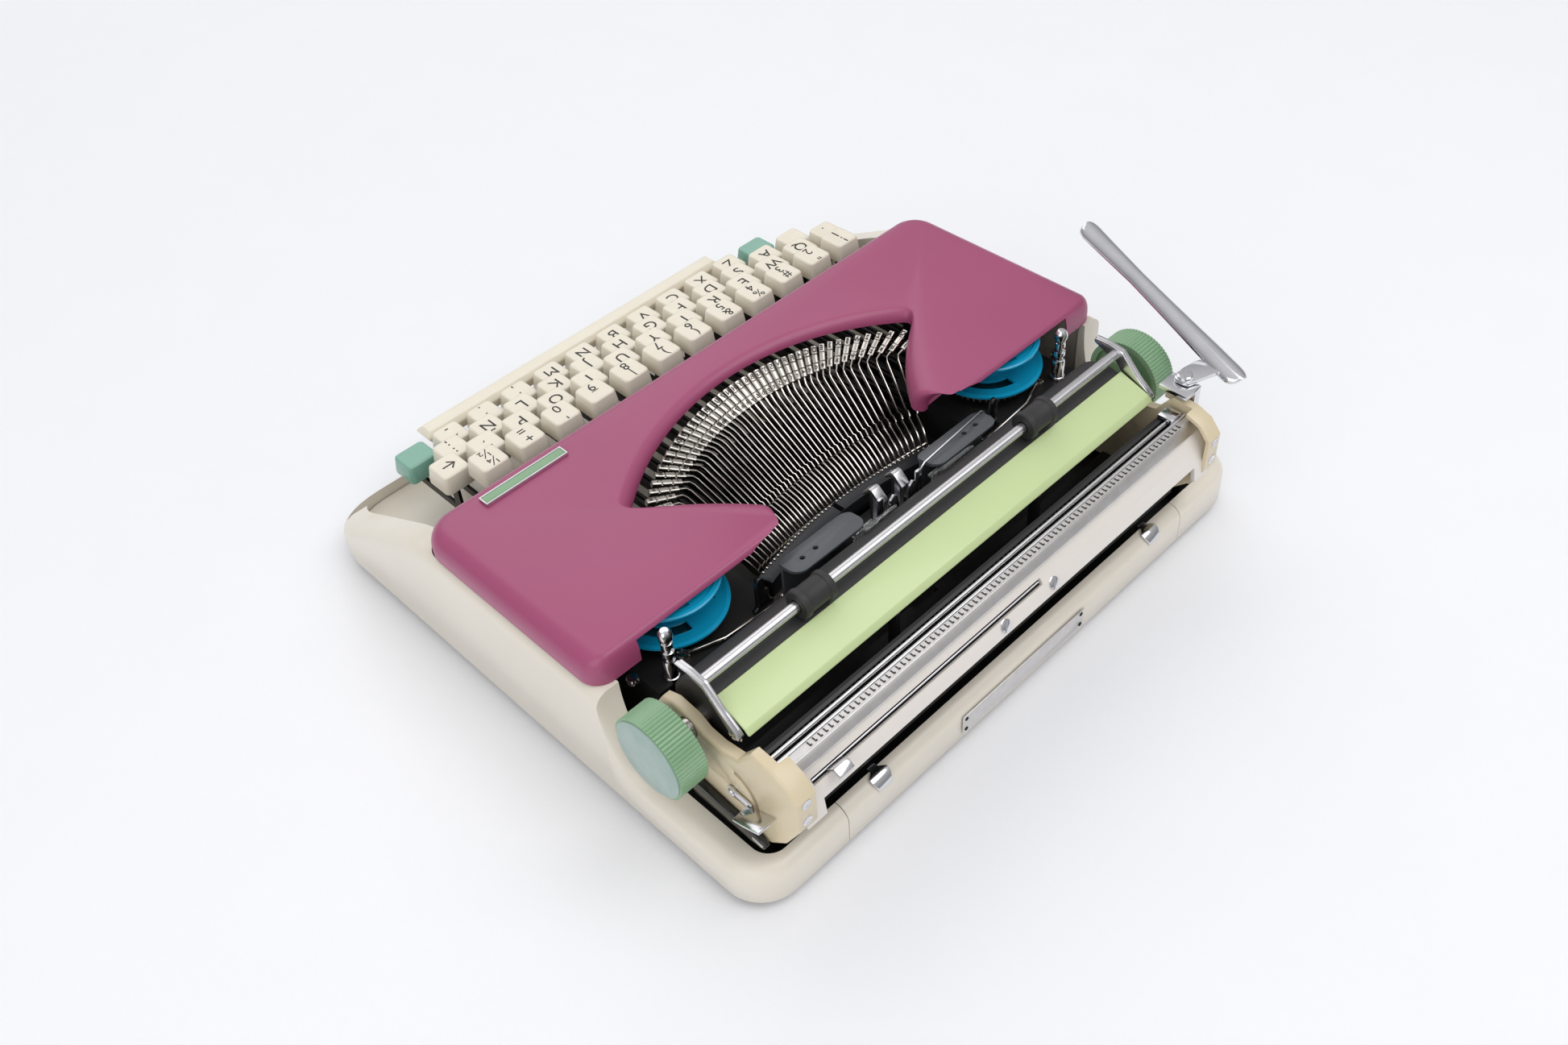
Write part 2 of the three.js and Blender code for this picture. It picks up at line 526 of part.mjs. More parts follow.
function buildCarriage() {
  const { halfInside, plate: thick, endGap, base } = carriage;
  const halfPlaten = halfInside - endGap;
  add("carriage_rail", rail(polygon([[97, 11], [119, 11], [119, 23.4], [97, 23.4]]),
    -deck.sideX + 0.6, deck.sideX - 0.6), "steel");
  const frameProfile = polygon([[96, base], [131, base], [131, base + 2], [123.5, base + 2], [123.5, 62],
    [131, 62], [131, 63.6], [121.5, 63.6], [121.5, base + 2], [96, base + 2]]);
  const hooks = [-12, 12].map((x) => rail(polygon([[94, 12], [96.6, 12], [96.6, base + 1], [100, base + 1],
    [100, base + 2], [94, base + 2]]), x - 5, x + 5));
  const frame = join(rail(frameProfile, -halfInside + GAP, halfInside - GAP), hooks);
  addMoving("carriage_frame", frame, "black");

  const outline = new THREE.Shape([[72, 36], [68.5, 44], [79.6, 63], [86, 65.6], [95.4, 64.4], [101, 61.2],
    [108, 60.6], [117.5, 62.4], [125.1, 73.8], [133.5, 73], [140.6, 70.6], [145.6, 64.8], [145.4, 48],
    [138, 34], [131, 27], [125, base], [93, base], [80, 29]].map(([y, z]) => new THREE.Vector2(y, z)));
  const bore = (x0, x1) => barX(platen.shaft + GAP, x0, x1, platen.y, platen.z, 16);
  const pinHole = (x0, x1) => barX(releasePin.radius + GAP, x0, x1, releasePin.y, releasePin.z, 12);
  const ends = { right: [halfInside, halfInside + thick], left: [-halfInside - thick, -halfInside] };
  const slotShape = new THREE.Shape();
  slotShape.absarc(releasePin.y, releasePin.z, 12.2, radians(-8), radians(84));
  slotShape.absarc(releasePin.y, releasePin.z, 9.8, radians(84), radians(-8), true);
  for (const [side, [x0, x1]] of Object.entries(ends)) {
    let blank = cut(rail(outline, x0, x1), bore(x0 - 1, x1 + 1));
    if (side === "right") {
      blank = cut(blank, pinHole(x0 - 1, x1 + 1), rail(slotShape, x0 - 1, x1 + 1, 6));
    }
    addMoving(`end_plate_${side}`, blank, "cream");
  }

  const sheet = (points, x0, x1) => rail(polygon(points), x0, x1);
  const main = [[131.6, 67.4], [134, 66.4], [138, 62.6], [141.4, 58], [143.8, 52.4], [142, 51.6],
    [139.7, 57], [136.6, 61.2], [133, 64.6], [131.6, 65.4]];
  const lobe = [[131.6, 67.4], [134, 66.4], [138, 62.6], [141.4, 58], [143.8, 52.4], [145, 45],
    [143.1, 44.8], [142, 51.6], [139.7, 57], [136.6, 61.2], [133, 64.6], [131.6, 65.4]];
  const rearHalf = halfInside - GAP;
  const slot = rail(polygon([[135, 60.6], [137.2, 58.4], [142.4, 63.6], [140.2, 65.8]]),
    -12, rearHalf - 7.3);
  const rearCover = cut(join(sheet(main, -rearHalf, rearHalf), sheet(lobe, -rearHalf, -rearHalf + 9),
    sheet(lobe, rearHalf - 9, rearHalf)), slot);
  addMoving("carriage_rear_cover", rearCover, "cream");

  const stop = rail(polygon([[134.9, 59.3], [135.9, 58.3], [142.5, 64.9], [146.4, 64.9], [146.4, 66.3],
    [141.9, 66.3]]), rearHalf - 21.3, rearHalf - 14.3);
  addMoving("margin_stop_right", stop, "chrome");
  addMoving("margin_rack", block(-halfInside + 1, halfInside - 1, 125, 128.4, 63.6 + GAP, 67.4), "steel");
  const saddle = rail(polygon([[124, 64.2], [124.7, 64.2], [124.7, 67.8], [128.7, 67.8], [128.7, 64.2],
    [130.6, 64.2], [130.6, 69.4], [124, 69.4]]), -halfPlaten, -halfPlaten + 7);
  addMoving("margin_stop_left", saddle, "chrome");

  const table = polygon([[100.4, 73.6], [100.8, 74.9], [117.4, 69.2], [119.2, 67], [117.8, 66],
    [116.4, 68]]);
  const tableLegs = [-1, 1].map((s) => rail(polygon([[113, 40], [121.2, 40], [121.2, 44], [117, 46],
    [117, 67.2], [113, 68.8]]), s * 40 - 1, s * 40 + 1));
  addMoving("paper_table", join(rail(table, -halfPlaten, halfPlaten), tableLegs), "lime");

  const { knobGap, knobWidth, knobRadius } = carriage;
  const knobInner = halfInside + thick + knobGap;
  const knobOuter = knobInner + knobWidth;
  const roller = join(barX(platen.radius, -halfPlaten, halfPlaten, platen.y, platen.z, 32),
    barX(platen.shaft, -knobOuter + 2, knobOuter - 2, platen.y, platen.z, 12));
  addMoving("platen", roller, "rubber");
  const bore2 = platen.shaft + GAP;
  const knob = turned([[bore2, 3], [7, 3], [7, -6], [9, -6], [9, 2], [14.2, 2], [14.2, 0],
    [knobRadius - 0.6, 0], [knobRadius, 1], [knobRadius, knobWidth - 1.2],
    [knobRadius - 1.4, knobWidth], [0, knobWidth], [0, knobWidth - 1.7], [bore2, knobWidth - 1.7]], 24);
  const turnedRight = knob.rotate([0, 90, 0]);
  addMoving("knob_right", turnedRight.translate([knobInner, platen.y, platen.z]), "green");
  addMoving("knob_left", mirrored(turnedRight).translate([-knobInner, platen.y, platen.z]), "green");

  buildBail();
  buildReturnLever(ends.left);

  const tab = rail(polygon([[122.6, 41.6], [126.4, 41.6], [127, 45], [135.6, 45], [135.6, 46.4], [126, 46.4],
    [122.6, 43.8]]), ends.right[1] + GAP, ends.right[1] + 6);
  const arm = rail(polygon([[112.4, 41], [127, 41], [127, 44.8], [112.4, 44.8]]), ends.right[1] + GAP,
    ends.right[1] + 1.5);
  const pin = barX(releasePin.radius, ends.right[0] - 1, ends.right[1] + 1, releasePin.y, releasePin.z, 12);
  addMoving("paper_release_lever", join(tab, arm, pin), "chrome");
  const release = rail(polygon([[92, 31], [96, 26.4], [124, 25.6], [130.5, 26.4], [131.5, 28.6], [126, 31],
    [100, 34], [94, 34.6]]), ends.right[1] + 0.6, ends.right[1] + 3.4);
  addMoving("carriage_release_lever", release, "black");
}

function buildBail() {
  const { y, z, rod, roller, rollerLength, rollerX, arm, pivotY, pivotZ, endGap } = bail;
  const armInner = carriage.halfInside - endGap;
  const profile = polygon([
    [pivotY + 3, pivotZ - 1.5], [pivotY + 3.4, pivotZ + 1.5], [pivotY + 1, pivotZ + 3.4],
    [y + 3, z + 2.4], [y - 3, z + 4.2], [y - 10, z + 3.8], [y - 10.4, z + 2], [y - 4, z],
    [y - 1.5, z - 3], [pivotY - 3, pivotZ - 1.6]]);
  const arms = [-1, 1].map((s) => {
    const x0 = s > 0 ? armInner : -armInner - arm;
    return rail(profile, x0, x0 + arm);
  });
  addMoving("paper_bail", join(barX(rod, -armInner - 0.5, armInner + 0.5, y, z, 12), arms), "chrome");
  for (const [side, sign] of [["left", -1], ["right", 1]]) {
    const ring = turned([[rod + GAP, 0], [roller - 0.5, 0], [roller, 0.6], [roller, rollerLength - 0.6],
      [roller - 0.5, rollerLength], [rod + GAP, rollerLength]], 20).rotate([0, 90, 0]);
    addMoving(`bail_roller_${side}`, ring.translate([sign * rollerX - rollerLength / 2, y, z]), "rubber");
  }
}

/** Carriage return lever: a hooked arm over the bracket with a long channel handle. */
function buildReturnLever([plateOuter]) {
  const pivot = { x: plateOuter - 2.4, y: 124 };
  const bracketTop = 76.4;
  const bracket = join(block(plateOuter - 4, plateOuter + 6, 118, 131, 74.6, bracketTop),
    block(plateOuter - 4, plateOuter - GAP, 118, 131, 66, bracketTop));
  const hole = barZ(1.9, 60, 90, pivot.x, pivot.y, 12);
  addMoving("return_lever_bracket", cut(bracket, hole), "chrome");
  const root = new THREE.Vector3(plateOuter - 17.8, 137, 79);
  const tip = new THREE.Vector3(plateOuter - 39.8, 46.5, 99);
  const handle = new THREE.Shape([[-5.5, 0], [5.5, 0], [5.5, -4], [4.3, -4], [4.3, -1.2], [-4.3, -1.2],
    [-4.3, -4], [-5.5, -4]].map(([u, v]) => new THREE.Vector2(u, v)));
  const length = root.distanceTo(tip);
  const geometry = extruded(handle, length);
  const forward = tip.clone().sub(root).normalize();
  const across = new THREE.Vector3().crossVectors(new THREE.Vector3(0, 0, 1), forward).normalize();
  const up = new THREE.Vector3().crossVectors(forward, across);
  geometry.applyMatrix4(new THREE.Matrix4().makeBasis(across, up, forward).setPosition(root));
  const web = slab(polygon([
    [pivot.x + 4, pivot.y - 4], [pivot.x + 4, pivot.y + 4], [pivot.x - 11.4, 141], [pivot.x - 21.4, 138],
    [pivot.x - 18.4, 131], [pivot.x - 5.4, 127], [pivot.x - 4, pivot.y - 5],
  ]), bracketTop + GAP, bracketTop + 2);
  const pin = barZ(1.6, 72, bracketTop + 1, pivot.x, pivot.y, 12);
  addMoving("return_lever", join(solid(geometry), web, pin), "chrome");
}

// ---------------------------------------------------------------- build, then stand the part on its origin
buildBody();
buildCover();
buildKeyboard();
buildFrame();
buildBasket();
buildCarriage();

machine.traverse((object) => {
  if (object.isMesh) {
    object.geometry = object.geometry.toNonIndexed();
    object.geometry.computeVertexNormals();
  }
});
const bounds = new THREE.Box3().setFromObject(machine);
machine.position.set(-(bounds.min.x + bounds.max.x) / 2, -(bounds.min.y + bounds.max.y) / 2, -bounds.min.z);

export default machine;
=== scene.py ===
"""Looks of a flat portable typewriter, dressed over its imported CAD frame."""

from __future__ import annotations

import logging
import math
from dataclasses import dataclass, field
from enum import Enum
from typing import Callable, Sequence

import bpy
from bpy.types import Material, NodeTree, Object
from mathutils import Matrix, Vector

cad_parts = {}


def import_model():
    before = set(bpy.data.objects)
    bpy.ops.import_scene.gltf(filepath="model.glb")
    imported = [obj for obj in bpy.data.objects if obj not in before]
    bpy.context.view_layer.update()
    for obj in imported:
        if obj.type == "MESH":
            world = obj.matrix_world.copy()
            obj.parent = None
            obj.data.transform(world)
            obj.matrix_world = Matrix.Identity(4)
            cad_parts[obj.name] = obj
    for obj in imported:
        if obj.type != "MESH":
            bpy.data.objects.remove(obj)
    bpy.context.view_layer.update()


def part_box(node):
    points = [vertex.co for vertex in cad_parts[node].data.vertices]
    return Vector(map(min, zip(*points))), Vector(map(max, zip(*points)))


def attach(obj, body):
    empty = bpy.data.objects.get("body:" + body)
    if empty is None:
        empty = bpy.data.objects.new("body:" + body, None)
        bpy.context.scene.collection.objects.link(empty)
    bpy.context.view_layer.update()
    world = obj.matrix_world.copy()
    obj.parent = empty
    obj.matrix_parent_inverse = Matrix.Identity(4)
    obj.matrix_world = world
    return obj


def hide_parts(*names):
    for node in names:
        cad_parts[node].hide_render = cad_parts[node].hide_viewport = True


LOG = logging.getLogger("typewriter")
MM = 0.001
Point2 = tuple[float, float]
Point3 = tuple[float, float, float]


# ---- places and outlines
@dataclass(frozen=True)
class Datum:
    """The machine's own origin: its middle plane, a line along Y and the ground, in the frame's metres."""

    origin: Vector
    front_edge: float = -142.0

    @classmethod
    def from_shell(cls) -> "Datum":
        """Find the origin from the body shell, whose front edge lies 142 mm ahead of it."""
        low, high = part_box("base_shell")
        return cls(Vector(((low.x + high.x) / 2, low.y - cls.front_edge * MM, 0.0)))

    def at(self, x: float, y: float, z: float) -> Vector:
        """Turn millimetres from the origin into a place in the frame."""
        return self.origin + Vector((x, y, z)) * MM

    def span(self, node: str) -> tuple[Vector, Vector]:
        """Give the lowest and highest corners of a CAD node in millimetres from the origin."""
        low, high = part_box(node)
        return (low - self.origin) / MM, (high - self.origin) / MM


class Plane(Enum):
    """The plane that an outline is drawn in; it is raised along the remaining axis."""

    PLAN = "z"
    SIDE = "x"
    FRONT = "y"

    def place(self, u: float, v: float, w: float) -> Point3:
        """Turn outline coordinates and a height into X, Y and Z.

        Args:
            u: first coordinate of the outline.
            v: second coordinate of the outline.
            w: height above its plane.

        Returns:
            The place as X, Y and Z.
        """
        if self is Plane.PLAN:
            return u, v, w
        if self is Plane.SIDE:
            return w, u, v
        return u, w, v


class Merge(Enum):
    """How a tool changes the piece that it is combined with."""

    CUT = "DIFFERENCE"
    ADD = "UNION"
    SHARED = "INTERSECT"


def arc(centre: Point2, radius: float, start: float, end: float, steps: int) -> list[Point2]:
    """Points along an arc between two angles in degrees, ends included."""
    angles = [math.radians(start + (end - start) * i / steps) for i in range(steps + 1)]
    return [(centre[0] + radius * math.cos(a), centre[1] + radius * math.sin(a)) for a in angles]


def toothed(centre: Point2, count: int, tooth: Sequence[Point2]) -> list[Point2]:
    """Outline of a toothed wheel; a tooth's corners are parts of its pitch, each with a radius."""
    rim = [(2 * math.pi * (i + part) / count, radius) for i in range(count) for part, radius in tooth]
    return [(centre[0] + radius * math.cos(a), centre[1] + radius * math.sin(a)) for a, radius in rim]


def rounded_plan(half: float, front: float, rear: float, front_r: float, rear_r: float,
                 steps: int = 10) -> list[Point2]:
    """Outline of a rectangle about the middle plane with its own front and rear corner radii.

    Args:
        half: half of the width.
        front: place of the front edge.
        rear: place of the rear edge.
        front_r: radius of the front corners.
        rear_r: radius of the rear corners.
        steps: chords in each corner.

    Returns:
        The points in order.
    """
    return (arc((half - front_r, front + front_r), front_r, -90, 0, steps)
            + arc((half - rear_r, rear - rear_r), rear_r, 0, 90, steps)
            + arc((-half + rear_r, rear - rear_r), rear_r, 90, 180, steps)
            + arc((-half + front_r, front + front_r), front_r, 180, 270, steps))


# ---- modelling operators
def edit_mode(on: bool) -> None:
    """Enter or leave edit mode."""
    bpy.ops.object.mode_set(mode="EDIT" if on else "OBJECT")


def clear_selection() -> None:
    """Go to object mode with nothing selected."""
    if bpy.context.object and bpy.context.object.mode != "OBJECT":
        edit_mode(False)
    bpy.ops.object.select_all(action="DESELECT")


def activate(*pieces: Object) -> None:
    """Select only these objects and make the first one active."""
    clear_selection()
    for piece in pieces:
        piece.select_set(True)
    bpy.context.view_layer.objects.active = pieces[0]


def settle(piece: Object, name: str) -> Object:
    """Name a piece and move its place, turn and size into its mesh.

    Args:
        piece: the object to settle.
        name: its name from now on.

    Returns:
        The same object.
    """
    activate(piece)
    bpy.ops.object.transform_apply(location=True, rotation=True, scale=True)
    piece.name = name
    piece.data.name = name
    return piece


def modify(piece: Object, kind: str, **settings: object) -> Object:
    """Add one modifier with its settings and apply it.

    Args:
        piece: the object to change.
        kind: type of the modifier.
        settings: the modifier's settings.

    Returns:
        The same object.
    """
    activate(piece)
    modifier = piece.modifiers.new(kind.lower(), kind)
    for key, value in settings.items():
        setattr(modifier, key, value)
    bpy.ops.object.modifier_apply(modifier=modifier.name)
    return piece


def smooth(piece: Object, angle: float = 32.0) -> Object:
    """Shade a piece smooth, with creases where faces meet at more than an angle.

    Args:
        piece: the object to shade.
        angle: the least angle of a crease, in degrees.

    Returns:
        The same object.
    """
    activate(piece)
    bpy.ops.object.shade_smooth_by_angle(angle=math.radians(angle))
    return piece


def soften(piece: Object, width: float, segments: int = 3, angle: float = 35.0) -> Object:
    """Round every edge sharper than an angle to a width in millimetres.

    Args:
        piece: the object to round.
        width: width of the rounding.
        segments: faces across it.
        angle: the least angle rounded, in degrees.

    Returns:
        The same object.
    """
    modify(piece, "BEVEL", width=width * MM, segments=segments, limit_method="ANGLE",
           angle_limit=math.radians(angle), use_clamp_overlap=True)
    return smooth(piece)


def discard(*tools: Object) -> None:
    """Remove shapes that were only needed to cut or to copy."""
    for tool in tools:
        bpy.data.objects.remove(tool)


def combine(piece: Object, tool: Object, how: Merge = Merge.CUT) -> Object:
    """Cut, join or intersect a piece with a tool, which is then removed.

    Args:
        piece: the object that stays.
        tool: the object it is combined with.
        how: whether the tool is cut away, added, or only what both share is kept.

    Returns:
        The piece.
    """
    modify(piece, "BOOLEAN", operation=how.value, object=tool, solver="EXACT")
    discard(tool)
    return piece


def face_out(piece: Object, merge: float = 0.001) -> Object:
    """Merge doubled points and turn every face outwards.

    Args:
        piece: the object to clean.
        merge: how close doubled points lie, in millimetres.

    Returns:
        The same object.
    """
    activate(piece)
    edit_mode(True)
    bpy.ops.mesh.select_all(action="SELECT")
    bpy.ops.mesh.remove_doubles(threshold=merge * MM)
    bpy.ops.mesh.normals_make_consistent(inside=False)
    edit_mode(False)
    return piece


def bevel_where(piece: Object, chosen: Callable[[Vector, Vector], bool], width: float,
                segments: int = 4) -> Object:
    """Bevel the edges whose two ends, in metres, pass a test.

    Args:
        piece: the object to bevel.
        chosen: the test of an edge's two ends.
        width: width of the bevel in millimetres.
        segments: faces across it.

    Returns:
        The same object.
    """
    activate(piece)
    edit_mode(True)
    bpy.ops.mesh.select_all(action="DESELECT")
    bpy.ops.mesh.select_mode(type="EDGE")
    edit_mode(False)
    points = piece.data.vertices
    for edge in piece.data.edges:
        edge.select = chosen(points[edge.vertices[0]].co, points[edge.vertices[1]].co)
    edit_mode(True)
    bpy.ops.mesh.bevel(offset=width * MM, segments=segments, affect="EDGES", clamp_overlap=True)
    edit_mode(False)
    return piece


def join(name: str, pieces: Sequence[Object]) -> Object:
    """Join several meshes into one named piece.

    Args:
        name: name of the piece.
        pieces: the objects to join.

    Returns:
        The joined piece.
    """
    activate(*pieces)
    if len(pieces) > 1:
        bpy.ops.object.join()
    joined = bpy.context.view_layer.objects.active
    joined.name = name
    joined.data.name = name
    return joined


def mirrored(side: int, near: float, far: float) -> Point2:
    """The two distances from the middle plane on one side of it, -1 or 1, the lower first."""
    low, high = sorted((side * near, side * far))
    return low, high


def side_name(side: int) -> str:
    """Word for one side of the middle plane, -1 or 1."""
    return "left" if side < 0 else "right"


def copy_of(piece: Object, name: str, offset: Vector | None = None, turn: Matrix | None = None) -> Object:
    """Copy a piece with its own mesh, turned and then moved.

    Args:
        piece: the object to copy.
        name: name of the copy.
        offset: how far the copy moves, in metres.
        turn: its turn or mirroring.

    Returns:
        The copy, which has its own mesh.
    """
    twin = piece.copy()
    twin.data = piece.data.copy()
    twin.name = name
    bpy.context.scene.collection.objects.link(twin)
    matrix = Matrix.Translation(offset or Vector((0, 0, 0)))
    if turn is not None:
        matrix = matrix @ turn.to_4x4()
    twin.data.transform(matrix)
    if matrix.determinant() < 0:
        twin.data.flip_normals()
    return twin


@dataclass(frozen=True)
class Workbench:
    """Makes shapes at their place in the frame from sizes in millimetres."""

    datum: Datum
    blanks: dict[str, Object] = field(default_factory=dict)

    @classmethod
    def at_origin(cls) -> "Workbench":
        """Bench at the world's origin, for shapes that are turned into place later."""
        return cls(Datum(Vector((0, 0, 0))))

    def block(self, name: str, x: Point2, y: Point2, z: Point2) -> Object:
        """Block between two values on each axis.

        Args:
            name: name of the piece.
            x: left and right.
            y: front and rear.
            z: bottom and top.

        Returns:
            The block.
        """
        clear_selection()
        low = self.datum.at(x[0], y[0], z[0])
        high = self.datum.at(x[1], y[1], z[1])
        bpy.ops.mesh.primitive_cube_add(size=1, location=(low + high) / 2)
        piece = bpy.context.object
        piece.scale = high - low
        return settle(piece, name)

    def prism(self, name: str, outline: Sequence[Point2], plane: Plane, low: float, high: float) -> Object:
        """Raise an outline from low to high along the axis square to its plane.

        Args:
            name: name of the piece.
            outline: the points of the outline.
            plane: the plane it is drawn in.
            low: where the prism starts.
            high: where it ends.

        Returns:
            The closed prism.
        """
        clear_selection()
        bpy.ops.mesh.primitive_circle_add(vertices=len(outline), fill_type="NGON")
        piece = bpy.context.object
        for vertex, (u, v) in zip(piece.data.vertices, outline):
            vertex.co = self.datum.at(*plane.place(u, v, low))
        rise = Vector(plane.place(0, 0, high - low)) * MM
        edit_mode(True)
        bpy.ops.mesh.select_all(action="SELECT")
        bpy.ops.mesh.extrude_region_move(TRANSFORM_OT_translate={"value": rise})
        edit_mode(False)
        return face_out(settle(piece, name), merge=0.0001)

    def loft(self, name: str, rings: Sequence[Sequence[Point3]],
             ring_shaped: bool = False) -> Object:
        """Skin a closed surface over a stack of outlines that have the same number of points.

        Args:
            name: name of the piece.
            rings: the outlines from one end to the other, each point as X, Y and Z.
            ring_shaped: join the last outline back to the first, rather than capping both.

        Returns:
            The closed piece.
        """
        clear_selection()
        around = len(rings[0])
        rows = [*rings, rings[0]] if ring_shaped else list(rings)
        bpy.ops.mesh.primitive_grid_add(x_subdivisions=around, y_subdivisions=len(rows) - 1, size=1)
        piece = bpy.context.object
        for index, vertex in enumerate(piece.data.vertices):
            row, column = divmod(index, around + 1)
            vertex.co = self.datum.at(*rows[row][column % around])
        edit_mode(True)
        bpy.ops.mesh.select_all(action="SELECT")
        bpy.ops.mesh.remove_doubles(threshold=0.001 * MM)
        bpy.ops.mesh.select_all(action="DESELECT")
        if not ring_shaped:
            bpy.ops.mesh.select_mode(type="EDGE")
            bpy.ops.mesh.select_non_manifold()
            bpy.ops.mesh.edge_face_add()
        edit_mode(False)
        return face_out(settle(piece, name), merge=0.0001)

    def turned(self, name: str, profile: Sequence[Point2], centre: Point3,
               along_x: bool = False, steps: int = 48, closed: bool = True) -> Object:
        """Spin a profile of radius and height about Z, or about X, through a centre.

        Args:
            name: name of the piece.
            profile: radius and height of each point; a closed profile is a ring's section, and an open
                one starts and ends on the axis.
            centre: the point on the axis at height 0.
            along_x: turn about X, not Z.
            steps: facets round the axis.
            closed: whether the profile is closed.

        Returns:
            The turned piece.
        """
        clear_selection()
        bpy.ops.mesh.primitive_circle_add(vertices=len(profile), fill_type="NOTHING")
        piece = bpy.context.object
        for vertex, (radius, height) in zip(piece.data.vertices, profile):
            offset = (height, radius, 0) if along_x else (radius, 0, height)
            vertex.co = self.datum.at(*(c + o for c, o in zip(centre, offset)))
        edit_mode(True)
        if not closed:
            bpy.ops.mesh.select_all(action="DESELECT")
            edit_mode(False)
            last = len(profile) - 1
            for edge in piece.data.edges:
                edge.select = set(edge.vertices) == {0, last}
            edit_mode(True)
            bpy.ops.mesh.select_mode(type="EDGE")
            bpy.ops.mesh.delete(type="EDGE_FACE")
        bpy.ops.mesh.select_all(action="SELECT")
        axis = (1, 0, 0) if along_x else (0, 0, 1)
        bpy.ops.mesh.spin(steps=steps, angle=2 * math.pi, center=self.datum.at(*centre), axis=axis)
        edit_mode(False)
        return face_out(settle(piece, name))

    def peg(self, name: str, radius: float, place: Point2, low: float, high: float,
            steps: int = 48) -> Object:
        """Plain upright pin or drill at X and Y, between two heights."""
        profile = [(0, low), (radius, low), (radius, high), (0, high)]
        return self.turned(name, profile, (*place, 0), steps=steps, closed=False)

    def wire(self, name: str, points: Sequence[Point3], radius: float,
             sides: int = 3) -> Object:
        """Round wire along straight runs between points.

        Args:
            name: name of the piece.
            points: the bends of the wire.
            radius: radius of the wire.
            sides: how finely its section is rounded.

        Returns:
            The closed wire.
        """
        clear_selection()
        curve = bpy.data.curves.new(name, "CURVE")
        curve.dimensions = "3D"
        curve.bevel_depth = radius * MM
        curve.bevel_resolution = sides
        curve.use_fill_caps = True
        run = curve.splines.new("POLY")
        run.points.add(len(points) - 1)
        for spot, point in zip(run.points, points):
            spot.co = (*self.datum.at(*point), 1)
        piece = bpy.data.objects.new(name, curve)
        bpy.context.scene.collection.objects.link(piece)
        activate(piece)
        bpy.ops.object.convert(target="MESH")
        return face_out(smooth(settle(bpy.context.object, name), 50))

    def rod(self, name: str, radius: float, x: Point2, y: float, z: float, chamfer: float = 0.3,
            steps: int = 32) -> Object:
        """Round bar along X with chamfered ends.

        Args:
            name: name of the piece.
            radius: radius of the bar.
            x: its left and right ends.
            y: Y of its axis.
            z: Z of its axis.
            chamfer: size of the chamfers.
            steps: facets round it.

        Returns:
            The closed bar.
        """
        low, high = x
        profile = [(0, 0), (radius - chamfer, 0), (radius, chamfer), (radius, high - low - chamfer),
                   (radius - chamfer, high - low), (0, high - low)]
        piece = self.turned(name, profile, (low, y, z), along_x=True, steps=steps, closed=False)
        return smooth(piece, 40)

    def screw_blank(self) -> Object:
        """Slotted cheese head of 1 mm radius and height at the world origin, modelled once.

        Returns:
            The head to copy.
        """
        if "screw" not in self.blanks:
            local = Workbench.at_origin()
            profile = [(0, 0), (1, 0), (1, 0.6), (0.8, 0.9), (0, 1)]
            head = local.turned("screw_blank", profile, (0, 0, 0), steps=24, closed=False)
            combine(head, local.block("slot", (-1.2, 1.2), (-0.16, 0.16), (0.5, 1.2)))
            self.blanks["screw"] = head
        return self.blanks["screw"]

    def screw(self, name: str, centre: Point3, radius: float, height: float,
              facing: Point3 = (0, 0, 1), slot_turn: float = 35.0) -> Object:
        """Slotted cheese-head screw standing on a face.

        Args:
            name: name of the piece.
            centre: middle of the head's underside.
            radius: radius of the head.
            height: height of the head.
            facing: the way that the head points.
            slot_turn: turn of the slot about the screw, in degrees.

        Returns:
            The screw head.
        """
        head = copy_of(self.screw_blank(), name)
        head.data.transform(Matrix.Diagonal((radius, radius, height, 1)))
        head.data.transform(Matrix.Rotation(math.radians(slot_turn), 4, "Z"))
        head.data.transform(Vector(facing).to_track_quat("Z", "Y").to_matrix().to_4x4())
        head.data.transform(Matrix.Translation(self.datum.at(*centre)))
        return smooth(head, 30)

    def clear_blanks(self) -> None:
        """Remove the shapes that were only kept to be copied."""
        discard(*self.blanks.values())
        self.blanks.clear()

    def lettering(self, name: str, words: str, size: float, place: Point3,
                  raised: float = 0.12) -> Object:
        """Raised lettering lying flat, centred on a place and read from the front.

        Args:
            name: name of the piece.
            words: what it says.
            size: height of the type.
            place: middle of the lettering.
            raised: how thick it is.

        Returns:
            The letters as one mesh.
        """
        clear_selection()
        bpy.ops.object.text_add(location=self.datum.at(*place))
        piece = bpy.context.object
        piece.data.body = words
        piece.data.size = size * MM
        piece.data.extrude = raised / 2 * MM
        piece.data.resolution_u = 3
        piece.data.align_x = "CENTER"
        piece.data.align_y = "CENTER"
        bpy.ops.object.convert(target="MESH")
        return settle(bpy.context.object, name)


def finish_piece(piece: Object, material: Material, body: str, slot: str, *replaced: str) -> Object:
    """Dress a piece, make it ride on its body and log it.

    Args:
        piece: the object to dress.
        material: its finish.
        body: the CAD body that carries the piece.
        slot: the record's material slot; it is not used.
        replaced: the CAD nodes that the piece stands for.

    Returns:
        The finished piece.
    """
    piece.data.materials.clear()
    piece.data.materials.append(material)
    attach(piece, body)
    if replaced:
        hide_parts(*replaced)
    LOG.info("%s rides on %s: %d faces", piece.name, body, len(piece.data.polygons))
    return piece


def dress_node(node: str, material: Material) -> None:
    """Give a CAD node that stays in view a finish of its own.

    Args:
        node: name of the CAD node.
        material: the finish it gets.
    """
    mesh = bpy.data.objects[node].data
    mesh.materials.clear()
    mesh.materials.append(material)
    LOG.info("%s keeps its CAD shape in %s", node, material.name)


